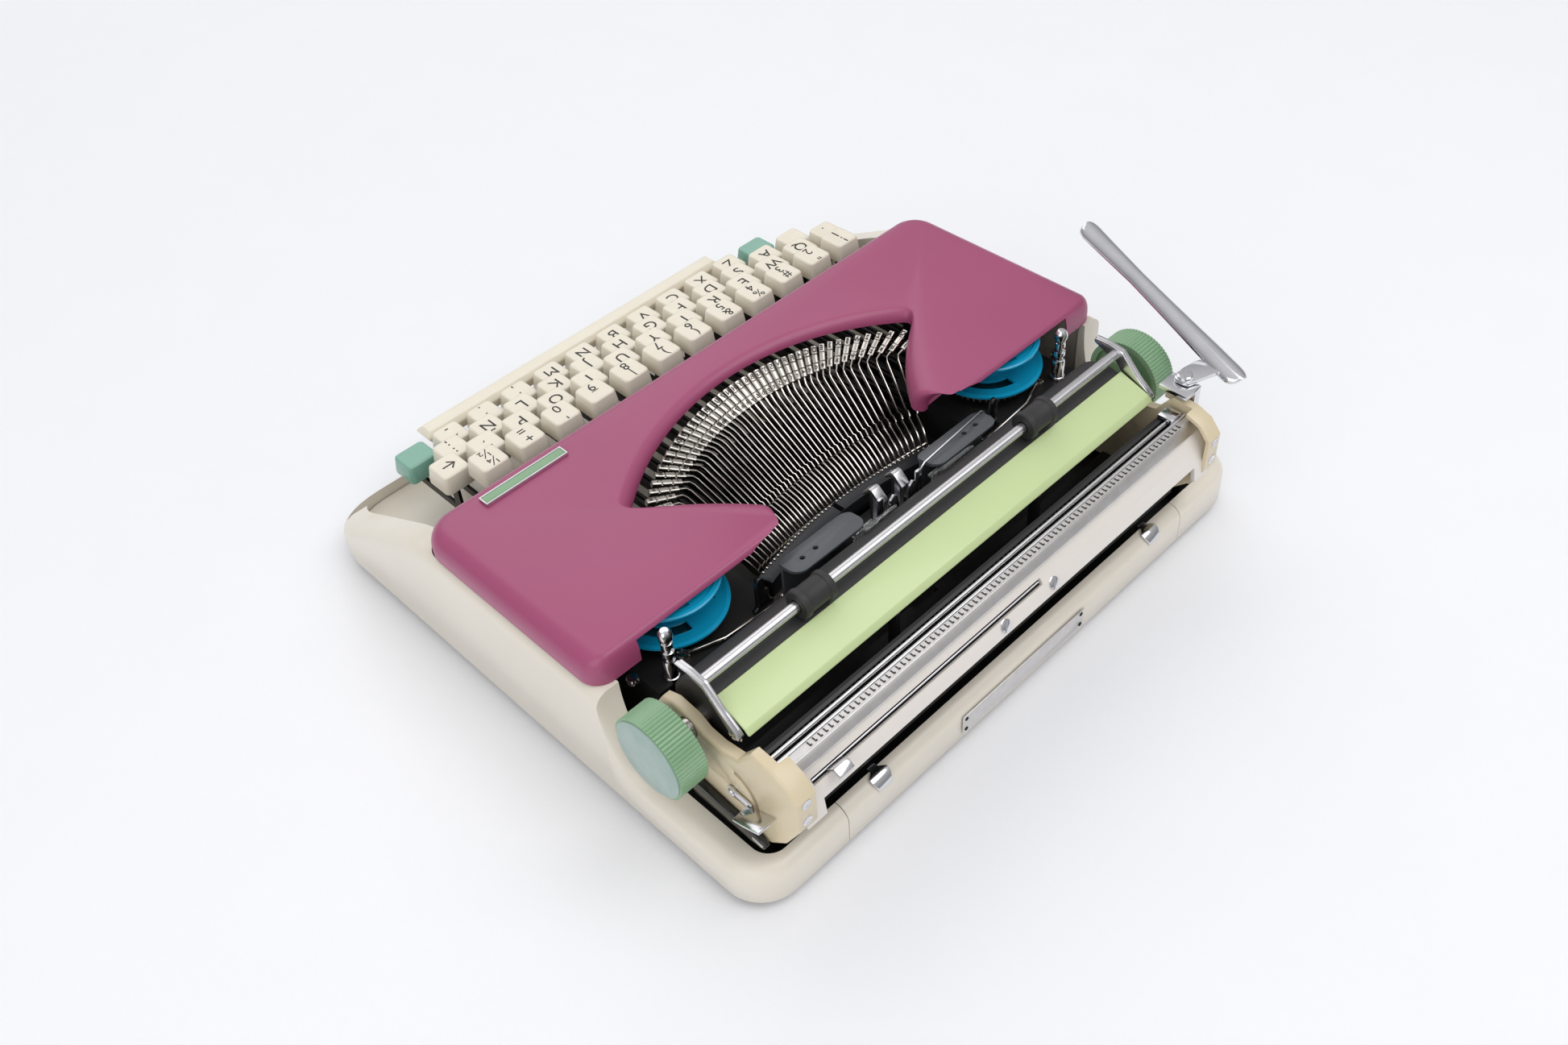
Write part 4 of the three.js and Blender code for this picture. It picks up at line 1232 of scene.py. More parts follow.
@dataclass
class Keyboard(Assembly):
    """Four ranks of moulded keys on flat levers, with shift keys, end keys and a space bar."""

    pitch: float = 19.0
    bottom_width: float = 15.2
    taper: float = 2.2
    height: float = 9.0
    lever_width: float = 1.4
    lever_bottom: float = 19.6
    lever_top: float = 23.4
    pivot_y: float = 58.0
    end_width: float = 14.6
    shift_width: float = 17.0
    shift_x: Point2 = (-107.5, 101.5)
    bar_half: float = 89.5

    def blank(self, width: float) -> Object:
        """One key cap standing at the machine's origin with its flat top at height 0.

        Args:
            width: width of the cap at its foot.

        Returns:
            The cap.
        """
        half, deep = width / 2, self.bottom_width / 2
        outline = rounded_plan(half, -deep, deep, 2.4, 2.4, 4)
        cap = self.bench.prism("cap_blank", outline, Plane.PLAN, -self.height, 0)
        centre = self.bench.datum.at(0, 0, 0)
        for vertex in cap.data.vertices:
            vertex.select = vertex.co.z > centre.z - 1e-6
        for face in cap.data.polygons:
            face.select = face.center.z > centre.z - 1e-6
        for edge in cap.data.edges:
            edge.select = all(cap.data.vertices[i].select for i in edge.vertices)
        edit_mode(True)
        shrink = (1 - self.taper / width, 1 - self.taper / self.bottom_width, 1)
        bpy.ops.transform.resize(value=shrink, center_override=centre)
        bpy.ops.mesh.inset(thickness=1.6 * MM)
        bpy.ops.transform.translate(value=(0, 0, -0.12 * MM))
        edit_mode(False)
        return soften(cap, 1.0, 3, 40)

    def lever(self, rank_y: float, top: float) -> Object:
        """Flat lever at the middle plane, from a key's stem back to the fulcrum.

        Args:
            rank_y: Y of the key.
            top: height of the key's top.

        Returns:
            The lever.
        """
        low, high = self.lever_bottom, self.lever_top
        foot = top - self.height + 1
        outline = [(rank_y - 2.5, low + 1), (rank_y - 1.5, low), (self.pivot_y - 1, low),
                   (self.pivot_y, low + 1), (self.pivot_y, high - 1), (self.pivot_y - 1, high),
                   (rank_y + 5, high),
                   (rank_y + 2.5, high + 2.5), (rank_y + 2.5, foot), (rank_y - 2.5, foot)]
        half = self.lever_width / 2
        return self.bench.prism("lever_blank", outline, Plane.SIDE, -half, half)

    def tie(self, name: str, xs: Sequence[float], y: float, above: bool) -> Object:
        """Bar that joins the levers of one rank, over or under all the others.

        Args:
            name: name of the piece.
            xs: X of each lever.
            y: front of the bar.
            above: whether it passes over the other levers.

        Returns:
            The bar with its risers.
        """
        half = self.lever_width / 2
        low, high = ((self.lever_top + 1.4, self.lever_top + 3) if above
                     else (self.lever_bottom - 3.6, self.lever_bottom - 1.6))
        bars = [self.bench.block(name, (xs[0] - half, xs[-1] + half), (y, y + 2), (low, high))]
        reach = (min(low + 0.5, self.lever_top - 1), max(high - 0.5, self.lever_bottom + 1))
        bars += [self.bench.block(name, (x - half, x + half), (y, y + 2), reach) for x in xs]
        return join(name, bars)

    def legend(self, words: str, place: Point3) -> list[Object]:
        """Thin black marks printed on a key top: one letter, or a lower and an upper mark.

        Args:
            words: the marks, parted by a slash.
            place: middle of the key's top.

        Returns:
            One piece for each mark.
        """
        marks = words.split("/") if len(words) > 1 else [words]
        shifts = [0.0] if len(marks) == 1 else [-2.8, 3.1]
        size = 8.6 if len(marks) == 1 else 7.0
        x, y, top = place
        return [self.bench.lettering("legend", mark, size, (x, y + shift, top - 0.08))
                for mark, shift in zip(marks, shifts)]

    def key(self, node: str, cap: Object, place: Point3, words: str, finish: Finish = CREAM_UREA,
            slot: str = "key_plastic") -> None:
        """Dress one single key: its cap, its lever and its legend.

        Args:
            node: the CAD node of the key.
            cap: the cap to copy.
            place: middle of its top.
            words: its legend, if any.
            finish: finish of the cap.
            slot: material slot of the cap.
        """
        body = node + "_body"
        self.put(copy_of(cap, node + "_cap", Vector(place) * MM), finish, body, slot, node)
        lever = self.lever(*place[1:])
        offset = Vector((place[0], 0, 0)) * MM
        self.put(copy_of(lever, node + "_lever", offset), DARK_STEEL, body, slot, node)
        discard(lever)
        if words:
            self.put(join(node + "_legend", self.legend(words, place)), LEGEND_INK, body, slot)

    def build_rank(self, rank: Rank, cap: Object, tie_y: float, above: bool) -> None:
        """Dress the joined keys of a rank and its one single key.

        Args:
            rank: the rank to build.
            cap: the cap to copy.
            tie_y: front of the bar that joins the levers.
            above: whether that bar passes over the other levers.
        """
        xs = [rank.first_x + i * self.pitch for i in range(len(rank.legends))]
        self.key(f"key_sample_{rank.name}", cap, (xs[rank.sample], rank.y, rank.top),
                 rank.legends[rank.sample])
        others = [(x, words) for i, (x, words) in enumerate(zip(xs, rank.legends)) if i != rank.sample]
        node = f"keys_{rank.name}"
        body = node + "_body"
        caps = [copy_of(cap, "cap", Vector((x, rank.y, rank.top)) * MM) for x, _ in others]
        self.put(join(node + "_caps", caps), CREAM_UREA, body, "key_plastic", node)
        blank = self.lever(rank.y, rank.top)
        levers = [copy_of(blank, "lever", Vector((x, 0, 0)) * MM) for x, _ in others]
        levers.append(self.tie("tie", [x for x, _ in others], tie_y, above))
        discard(blank)
        self.put(join(node + "_levers", levers), DARK_STEEL, body, "key_plastic", node)
        marks = [mark for x, words in others for mark in self.legend(words, (x, rank.y, rank.top))]
        self.put(join(node + "_legends", marks), LEGEND_INK, body, "key_plastic")

    def build(self) -> None:
        """Build the ranks, the end keys, the shift keys and the space bar."""
        cap = self.blank(self.bottom_width)
        ties = ((53, True), (53, False), (46, True), (46, False))
        for rank, (tie_y, above) in zip(RANKS, ties):
            self.build_rank(rank, cap, tie_y, above)
        _, upper, home, lower = RANKS
        narrow = self.blank(self.end_width)
        margin_x = upper.first_x - self.pitch + 0.6
        back_x = upper.first_x + len(upper.legends) * self.pitch
        lock_x = home.first_x - self.pitch
        for node, blank, x, rank, words in (("key_margin_release", narrow, margin_x, upper, "·/·"),
                                            ("key_backspace", cap, back_x, upper, "←"),
                                            ("key_shift_lock", cap, lock_x, home, "")):
            self.key(node, blank, (x, rank.y, rank.top), words)
        wide = self.blank(self.shift_width)
        for side, x in zip(("left", "right"), self.shift_x):
            self.key(f"key_shift_{side}", wide, (x, lower.y, lower.top), "", TEAL_UREA, "shift_key_plastic")
        discard(cap, narrow, wide)
        self.space_bar()

    def space_bar(self) -> None:
        """Long bar with tapered ends on two cranked arms and a cross tie."""
        bench, half = self.bench, self.bar_half
        front, rear, top, height = -139.6, -129.4, 33.0, 8.0
        outline = [(-half + 3, top - height), (half - 3, top - height), (half, top - 2.5), (half - 2.5, top),
                   (-half + 2.5, top), (-half, top - 2.5)]
        bar = bench.prism("space_bar_moulding", outline, Plane.FRONT, front, rear)
        side = [(front + 1.2, top - height), (rear - 1.2, top - height), (rear, top - 3), (rear - 1.6, top),
                (front + 2.4, top), (front, top - 2.5)]
        combine(bar, bench.prism("side", side, Plane.SIDE, -100, 100), Merge.SHARED)
        self.put(soften(bar, 1.4, 4, 25), CREAM_UREA, "space_bar_body", "key_plastic", "space_bar")
        arm = [(front + 3.1, top - height + 1), (front + 3.1, 11.6), (20, 11.6), (20, self.lever_top),
               (15, self.lever_top), (15, 14.4), (rear - 2, 14.4), (rear - 2, top - height + 1)]
        wide = self.lever_width / 2
        arms = [bench.prism("arm", arm, Plane.SIDE, x - wide, x + wide) for x in (-73, 79)]
        arms.append(bench.block("tie", (-73, 79), (15, 17.5), (11.6, 14.4)))
        self.put(join("space_bar_arms", arms), DARK_STEEL, "space_bar_body", "key_plastic", "space_bar")


# ---- type basket
@dataclass
class TypeBasket(Assembly):
    """Fan of forty-four bent typebars, each in a slot of its own in the shallow segment."""

    bars: int = 44
    sweep: float = 84.0
    centre_y: float = 95.6
    rest_radius: float = 110.0
    rest_height: float = 64.4
    slug: Point3 = (12.6, 2.6, 2.8)
    slug_fan: float = 2.05
    slug_spread: float = 0.15
    heel_spread: float = 0.07
    slug_rise: Point2 = (30.0, 12.0)
    neck: float = 10.5
    heel_half: float = 51.0
    heel_y: float = 36.0
    heel_z: float = 32.8
    heel_bow: float = 6.6
    end_margin: float = 2.5
    segment_low: float = 28.9
    segment_top: float = 37.0
    lug_place: float = 0.36
    sample: int = 23
    marks: str = "1QAZ2WSX3EDC4RFV5TGB6YHN7UJM8IK,9OL.0PÑ-=+;/"

    def share(self, index: int, spread: float) -> float:
        """Place of a bar across the fan, from -1 to 1, with the outer ones spaced more widely."""
        part = 2 * index / (self.bars - 1) - 1
        return part * (1 - spread) + spread * part ** 5

    def heel(self, index: int) -> Vector:
        """Pivot of a bar in its slot, in millimetres; the outer ones lie further back and higher.

        Args:
            index: number of the bar.

        Returns:
            The pivot.
        """
        share = self.share(index, self.heel_spread)
        bow = self.heel_bow * share * share
        return Vector((self.heel_half * share, self.heel_y + bow, self.heel_z + bow / 2))

    def slug_frame(self, index: int) -> Matrix:
        """Placing matrix, in millimetres, of a slug: X along it, Z out of its type face.

        Args:
            index: number of the bar.

        Returns:
            The matrix.
        """
        share = self.share(index, self.slug_spread)
        fan = math.radians(self.sweep / 2 * share)
        inner, outer = self.slug_rise
        rise = math.radians(inner + (outer - inner) * abs(share))
        turn = fan * self.slug_fan
        along = Vector((math.sin(turn) * math.cos(rise), -math.cos(turn) * math.cos(rise), math.sin(rise)))
        across = Vector((-along.y, along.x, 0)).normalized()
        place = Matrix((along, across, along.cross(across))).transposed().to_4x4()
        place.translation = Vector((self.rest_radius * math.sin(fan),
                                    self.centre_y - self.rest_radius * math.cos(fan), self.rest_height))
        return place

    def shank(self, index: int) -> Object:
        """Flat bar bent from its heel over a lug and a kink to the neck of its slug.

        Args:
            index: number of the bar.

        Returns:
            The bar without its slug.
        """
        heel = self.heel(index)
        frame = self.slug_frame(index)
        slug = frame.translation - frame.to_3x3() @ Vector((0, 0, 1.6))
        along = frame.to_3x3() @ Vector((1, 0, 0))
        kink = slug - along * self.neck
        lug = heel.lerp(kink, self.lug_place)
        root = (lug - heel).normalized()
        run = (kink - lug).normalized()
        bulge = Vector((0, 0, 1.5))
        stations = [(heel - root * 1.6, root, 0.26, -0.8, 1.0, 0.0),
                    (heel, root, 0.32, -1.6, 2.0, 0.0),
                    (heel.lerp(lug, 0.3) + bulge * 0.8, root, 0.32, -1.6, 1.5, 0.0),
                    (heel.lerp(lug, 0.6) + bulge, root, 0.32, -1.6, 1.1, 0.0),
                    (lug - root * 1.6 + bulge * 0.3, root, 0.32, -1.4, 0.9, 0.0),
                    (lug - root * 0.8, root, 0.32, -1.3, 0.5, 0.6),
                    (lug + run * 1.8, run, 0.32, -1.3, 0.9, 0.6),
                    (lug + run * 2.6, run, 0.28, -1.2, 0.9, 0.0),
                    (kink - run * 1.2, run, 0.26, -1.0, 0.9, 0.0),
                    (kink + along * 1.0, along, 0.34, -0.9, 0.9, 0.0),
                    (slug - along * (self.slug[0] / 2 - 1), along, 0.40, -0.9, 0.9, 0.0)]
        rings = []
        for spot, way, half, low, high, aside in stations:
            across = Vector((way.y, -way.x, 0)).normalized()
            up = across.cross(way)
            if up.z < 0:
                up.negate()
            edge = 0.1
            section = [(-half, low + edge), (-half + edge, low), (half - edge, low), (half, low + edge),
                       (half, high - edge), (half - edge, high), (-half + edge, high), (-half, high - edge)]
            rings.append([tuple(spot + across * (u + aside) + up * v) for u, v in section])
        return self.bench.loft("typebar", rings)

    def slug_blank(self) -> Object:
        """Type slug at the world origin, its face up, parted by grooves into two types and a land.

        Returns:
            The slug.
        """
        bench = Workbench.at_origin()
        length, width, depth = self.slug
        half = width / 2
        section = [(-half, -0.4), (-half + 0.3, 0), (half - 0.3, 0), (half, -0.4), (half, -depth + 0.7),
                   (half - 0.7, -depth), (-half + 0.7, -depth), (-half, -depth + 0.7)]
        slug = bench.prism("slug_blank", section, Plane.SIDE, -length / 2, length / 2)
        for place in (-2.2, 2.2):
            combine(slug, bench.block("groove", (place - 0.22, place + 0.22), (-3, 3), (-0.8, 1)))
        return soften(slug, 0.15, 1, 40)

    def type_faces(self, index: int) -> list[Object]:
        """The two raised characters on a slug, cut in mirror writing.

        Args:
            index: number of the bar.

        Returns:
            The characters, at the world origin.
        """
        bench = Workbench.at_origin()
        mark = self.marks[index]
        mirror = Matrix(((0, 1, 0), (1, 0, 0), (0, 0, 1)))
        faces = []
        for words, shift in ((mark.lower(), -4.2), (mark, 4.2)):
            face = bench.lettering("type", words, 3.2, (0, 0, 0.1), 0.4)
            faces.append(copy_of(face, "type", Vector((shift, 0, 0)) * MM, mirror))
            discard(face)
        return faces

    def complete_bar(self, blank: Object, index: int) -> tuple[Object, list[Object]]:
        """A bent bar with its slug, and its two characters.

        Args:
            blank: the slug to copy.
            index: number of the bar.

        Returns:
            The bar, and its characters.
        """
        slug, faces = copy_of(blank, "slug"), self.type_faces(index)
        place = self.slug_frame(index)
        place.translation = self.bench.datum.at(*place.translation)
        for piece in (slug, *faces):
            piece.data.transform(place)
        return join("typebar", [self.shank(index), slug]), faces

    def build(self) -> None:
        """Build the joined bars on their hinge wire, the single bar and the segment."""
        blank = self.slug_blank()
        bank, letters = [], []
        for index in range(self.bars):
            if index != self.sample:
                bar, faces = self.complete_bar(blank, index)
                bank.append(bar)
                letters += faces
        bank.append(self.bench.wire("hinge_wire", [tuple(self.heel(i)) for i in range(self.bars)], 0.5))
        self.put(smooth(join("typebar_fan", bank), 30), TYPE_STEEL, "base", "type_steel", "typebar_bank")
        self.put(join("typebar_letters", letters), INKED_TYPE, "base", "type_steel")
        bar, faces = self.complete_bar(blank, self.sample)
        body = "typebar_sample_body"
        bar.name = "typebar_single"
        self.put(smooth(bar, 30), TYPE_STEEL, body, "type_steel", "typebar_sample")
        self.put(join("typebar_single_letters", faces), INKED_TYPE, body, "type_steel")
        discard(blank)
        self.segment()

    def crescent(self, near: float, far: float, top: float) -> Object:
        """Part of the segment between two distances from the arc of the heels.

        Args:
            near: how far it reaches in front of the heels.
            far: how far it reaches behind them.
            top: height of its upper face.

        Returns:
            The crescent.
        """
        radius = self.heel_half ** 2 / (2 * self.heel_bow)
        centre = (0.0, self.heel_y + radius)
        reach = math.degrees(math.asin((self.heel_half + self.end_margin) / radius))
        outline = (arc(centre, radius + near, -90 - reach, -90 + reach, 40)
                   + arc(centre, radius - far, -90 + reach, -90 - reach, 40))
        return self.bench.prism("segment_crescent", outline, Plane.PLAN, self.segment_low, top)

    def segment(self) -> None:
        """Graphite crescent with a slot for each bar, and a bright pin behind all but the single bar."""
        bench = self.bench
        local = Workbench.at_origin()
        ring = self.crescent(1.8, 3.2, 31.4)
        combine(ring, self.crescent(-2.4, 9.0, self.segment_top), Merge.ADD)
        soften(ring, 0.4, 2, 60)
        slot = local.block("slot", (-2.0, 8.0), (-0.6, 0.6), (30.0, 62))
        clearance = local.block("clearance", (-8.8, 1.0), (-1.2, 1.2), (31.0, 62))
        pin = local.turned("pin", [(0, 0), (0.5, 0), (0.5, 0.5), (0, 0.8)], (0, 0, 0), steps=8, closed=False)
        slots, pins = [], []
        for index in range(self.bars):
            heel = self.heel(index)
            frame = self.slug_frame(index)
            ahead = frame.translation - heel - frame.to_3x3() @ Vector((self.neck, 0, 0))
            heading = Vector((ahead.x, ahead.y, 0)).normalized()
            turn = Matrix.Rotation(math.atan2(heading.y, heading.x), 3, "Z")
            slots.append(copy_of(slot, "slot", bench.datum.at(heel.x, heel.y, 0), turn))
            if index == self.sample:
                combine(ring, copy_of(clearance, "clearance", bench.datum.at(heel.x, heel.y, 0), turn))
                continue
            behind = heel - heading * 3.2
            foot = bench.datum.at(behind.x, behind.y, self.segment_top - 0.1)
            pins.append(copy_of(pin, "pin", foot, turn))
        discard(slot, clearance, pin)
        combine(ring, join("slots", slots))
        self.put(smooth(ring, 30), GRAPHITE_SATIN, "base", "black_paint", "type_segment")
        self.put(smooth(join("segment_pins", pins), 30), TYPE_STEEL, "base", "type_steel")


# ---- ribbon gear and print point
@dataclass
class RibbonGear(Assembly):
    """Two slotted spools, the ribbon posts and the plates and fingers round the print point."""

    spool_x: float = 93.5
    spool_y: float = 39.5
    radius: float = 24.5
    core: float = 10.0
    bore: float = 3.4
    low: float = 52.0
    high: float = 66.6
    flange: float = 1.2
    teeth: int = 48
    casting_top: float = 45.7
    post_x: float = 113.0
    post_y: float = 63.8

    def kidney(self, inner: float, outer: float, start: float, end: float) -> list[Point2]:
        """Outline of a slot that follows the spool's rim."""
        centre = (0.0, 0.0)
        return arc(centre, outer, start, end, 12) + arc(centre, inner, end, start, 12)

    def spool(self) -> Object:
        """Spool at the machine's origin with raised ribs and three slots in each flange.

        Returns:
            The spool.
        """
        bench = self.bench
        base, top, thick = 50.6, self.high, self.flange
        rim, core = self.radius, self.core
        profile = [(self.bore, base), (core - 3, base), (core - 3, self.low), (rim - 0.4, self.low),
                   (rim, self.low + 0.3), (rim, self.low + thick), (rim - 1.4, self.low + thick + 0.4),
                   (rim - 2.2, self.low + thick), (core, self.low + thick), (core, top - thick),
                   (rim - 4, top - thick), (rim - 2.2, top - thick - 0.3), (rim - 2, top - thick),
                   (rim - 2, top - 0.5), (rim - 2.6, top), (rim - 4.2, top), (rim - 4.8, top - 0.5),
                   (core + 4, top - 0.5), (core + 3.4, top), (core + 1.4, top), (core + 1, top - 0.4),
                   (7, top - 0.4), (6.4, top), (self.bore, top)]
        spool = bench.turned("spool", profile, (0, 0, 0), steps=72)
        slots = [bench.prism("slot", self.kidney(13.4, 18.6, turn + 14, turn + 82), Plane.PLAN, 40, 80)
                 for turn in (0, 120, 240)]
        combine(spool, join("slots", slots))
        return soften(spool, 0.15, 1, 40)

    def drive_gear(self) -> Object:
        """Toothed steel wheel under a spool, seen through its slots.

        Returns:
            The wheel with its hub.
        """
        rim = toothed((0, 0), self.teeth, ((0.0, 19.2), (0.3, 20.6), (0.55, 20.6), (0.85, 19.2)))
        wheel = self.bench.prism("wheel", rim, Plane.PLAN, 47.4, 49.6)
        combine(wheel, self.bench.peg("bore", 7.4, (0, 0), 40, 60))
        hub = [(self.bore, 45.9), (7.2, 45.9), (7.2, 50.4), (6.4, 50.6), (self.bore, 50.6)]
        return smooth(join("drive_gear", [wheel, self.bench.turned("hub", hub, (0, 0, 0), steps=32)]), 30)

    def post(self, node: str, side: int) -> None:
        """Ribbon post: a stout sleeve, a waist with a collar and a domed head.

        Args:
            node: the CAD node of the post.
            side: -1 on the left, 1 on the right.
        """
        deck = self.casting_top
        profile = [(0, deck), (3.1, deck), (3.1, 47), (2.7, 47.2), (2.7, 55), (2.4, 55.6), (1.7, 55.8),
                   (1.7, 58), (2.5, 58.4), (2.5, 60.4), (1.5, 60.8), (1.5, 62.4), (2.3, 62.8), (2.3, 65),
                   (1.5, 65.4), (1.5, 66.4), (2.7, 67), (2.9, 68.4), (2.6, 70), (1.6, 71.1), (0, 71.4)]
        place = (side * self.post_x, self.post_y, 0)
        post = self.bench.turned(node + "_turned", profile, place, steps=32, closed=False)
        self.put(smooth(post, 35), CHROME, "base", "chrome", node)

    def card_guide(self, node: str, side: int) -> None:
        """Crinkled plate beside the print point, bent over into a shelf pierced by two holes.

        Args:
            node: the CAD node of the guide.
            side: -1 on the left, 1 on the right.
        """
        bench = self.bench
        profile = [(65.2, 44.3), (66.6, 44.3), (66.6, 60.2), (75.2, 62.2), (75.2, 63.4), (66.0, 62.2),
                   (62.4, 60.8), (62.4, 59.8), (65.2, 60.2)]
        plate = bench.prism(node + "_plate", profile, Plane.SIDE, 20, 58)
        plan = [(39 + u, v) for u, v in rounded_plan(19, 62.4, 75.2, 4, 5, 8)]
        combine(plate, bench.prism("shape", plan, Plane.PLAN, 40, 80), Merge.SHARED)
        for x in (43, 50):
            combine(plate, bench.peg("drill", 1.1, (x, 69.2), 55, 70, 24))
        if side < 0:
            clear_selection()
            mirror = Matrix(((-1, 0, 0), (0, 1, 0), (0, 0, 1)))
            shift = Vector((2 * bench.datum.origin.x, 0, 0))
            twin = copy_of(plate, node + "_plate", shift, mirror)
            discard(plate)
            plate = face_out(twin)
        self.put(soften(plate, 0.35, 2, 40), CRINKLE, "base", "black_paint", node)

    def finger(self, side: int) -> None:
        """Clear plastic card finger that follows the platen.

        Args:
            side: -1 on the left, 1 on the right.
        """
        centre = (93.9, 59.5)
        outline = arc(centre, 16.9, 176, 128, 10) + arc(centre, 16.1, 128, 176, 10)
        inner, outer = mirrored(side, 13.5, 31.0)
        finger = self.bench.prism(f"card_finger_{side_name(side)}", outline, Plane.SIDE, inner, outer)
        foot = self.bench.block("foot", (inner + 3, outer - 3), (73.0, 77.6), (59.6, 60.8))
        combine(finger, foot, Merge.ADD)
        self.put(soften(finger, 0.2, 2, 40), CLEAR_ACRYLIC, "base", "chrome")

    def print_point(self) -> None:
        """Chromed type guide with its ears and screws, the ribbon carrier and the bent wire."""
        bench = self.bench
        prong = [(2.6, 37), (8.2, 37), (8.6, 60), (7.6, 65), (5.4, 66.5), (3.4, 65), (2.6, 60)]
        guide = [bench.prism("prong", [(side * u, v) for u, v in prong], Plane.FRONT, 74, 75.2)
                 for side in (-1, 1)]
        guide.append(bench.block("yoke", (-13.4, 13.4), (65.2, 75.2), (36.3, 38.3)))
        ear = [(65.4, 38), (74.6, 38), (74.6, 47), (72, 50), (69, 49), (65.4, 42)]
        guide += [bench.prism("ear", ear, Plane.SIDE, *mirrored(side, 11.4, 12.8)) for side in (-1, 1)]
        body = soften(join("type_guide_parts", guide), 0.3, 2, 40)
        screws = [bench.screw("screw", (x, 69, 38.3), 2.4, 1.8, (0, 0, 1), 30 * x) for x in (-8, 0, 8)]
        self.put(join("type_guide_plated", [body, *screws]), CHROME, "base", "chrome", "type_guide")
        arms = [bench.block("arm", mirrored(side, 9.4, 12.4), (72.2, 73.4), (42, 67)) for side in (-1, 1)]
        arms.append(bench.block("cross", (-12.4, 12.4), (72.2, 73.4), (40, 43)))
        carrier = soften(join("ribbon_carrier", arms), 0.3, 2, 40)
        self.put(carrier, CHROME, "ribbon_vibrator_body", "chrome", "ribbon_vibrator")
        spring = [(-61, 64, 46), (-61, 65, 60), (-56, 67, 64.6), (-40, 68.6, 64.8), (-18, 70, 64.4),
                  (-12, 71, 62)]
        lug = [(60.8, 61.2), (64.6, 65.2), (66.2, 65.0), (70.6, 60.8), (70.2, 59.8), (65.4, 63.2),
               (61.2, 60.4)]
        ends = [soften(bench.prism("lug", lug, Plane.SIDE, x, x + 4.6), 0.3, 2, 30) for x in (-8.6, 4.0)]
        ends += [bench.block("stem", (x, x + 3), (64.4, 66.0), (38, 61.6)) for x in (-7.8, 4.8)]
        self.put(join("guide_lugs", ends), SATIN_CHROME, "base", "chrome")
        self.put(bench.wire("guide_spring", spring, 0.45), SATIN_CHROME, "base", "chrome")

    def reversing_gear(self, sign: int) -> None:
        """Bracket, link rod, spring and screws beside a spool, on the casting's upper face.

        Args:
            sign: -1 on the left, 1 on the right.
        """
        bench = self.bench
        deck = self.casting_top
        bracket = [(62, deck), (72, deck), (72, deck + 1), (70, deck + 2), (70, 60), (69, 62), (67, 62),
                   (66, 60), (66, deck + 9), (64, deck + 8), (64, deck + 2), (62, deck + 1)]
        plate = bench.prism("reverse_bracket_" + side_name(sign), [(sign * u, v) for u, v in bracket],
                            Plane.FRONT, 63, 65)
        self.put(soften(plate, 0.3, 2, 40), BLACK_ENAMEL, "base", "black_paint")
        link = [(sign * 104, 60, deck + 1.6), (sign * 88, 66, deck + 1.6), (sign * 60, 68, deck + 1.6)]
        parts = [bench.wire("link", link, 0.8)]
        coil = [(sign * (74 + i * 0.16), 71 + 1.7 * math.cos(i * 0.9), deck + 3 + 1.7 * math.sin(i * 0.9))
                for i in range(84)]
        parts.append(bench.wire("spring", coil, 0.3, 1))
        places = ((104, 60, 2.6), (60, 68, 2.2), (90, 70.5, 3.0), (124, 55, 2.6), (124, 30, 2.6))
        parts += [bench.screw("screw", (sign * x, y, deck), radius, 2.4, (0, 0, 1), 15 * x)
                  for x, y, radius in places]
        self.put(join("reverse_link_" + side_name(sign), parts), TYPE_STEEL, "base", "chrome")

    def build(self) -> None:
        """Build both spools, the posts, the plates, the fingers and the print point."""
        blank, gear = self.spool(), self.drive_gear()
        for side, sign in (("left", -1), ("right", 1)):
            node = f"ribbon_spool_{side}"
            offset = Vector((sign * self.spool_x, self.spool_y, 0)) * MM
            twin = copy_of(blank, node + "_moulded", offset)
            self.put(smooth(twin, 30), CYAN_STYRENE, node + "_body", "spool_plastic", node)
            self.put(copy_of(gear, node + "_gear", offset), TYPE_STEEL, node + "_body", "chrome")
            self.post(f"ribbon_post_{side}", sign)
            self.card_guide(f"card_guide_{side}", sign)
            self.finger(sign)
            self.reversing_gear(sign)
        discard(blank, gear)
        self.print_point()


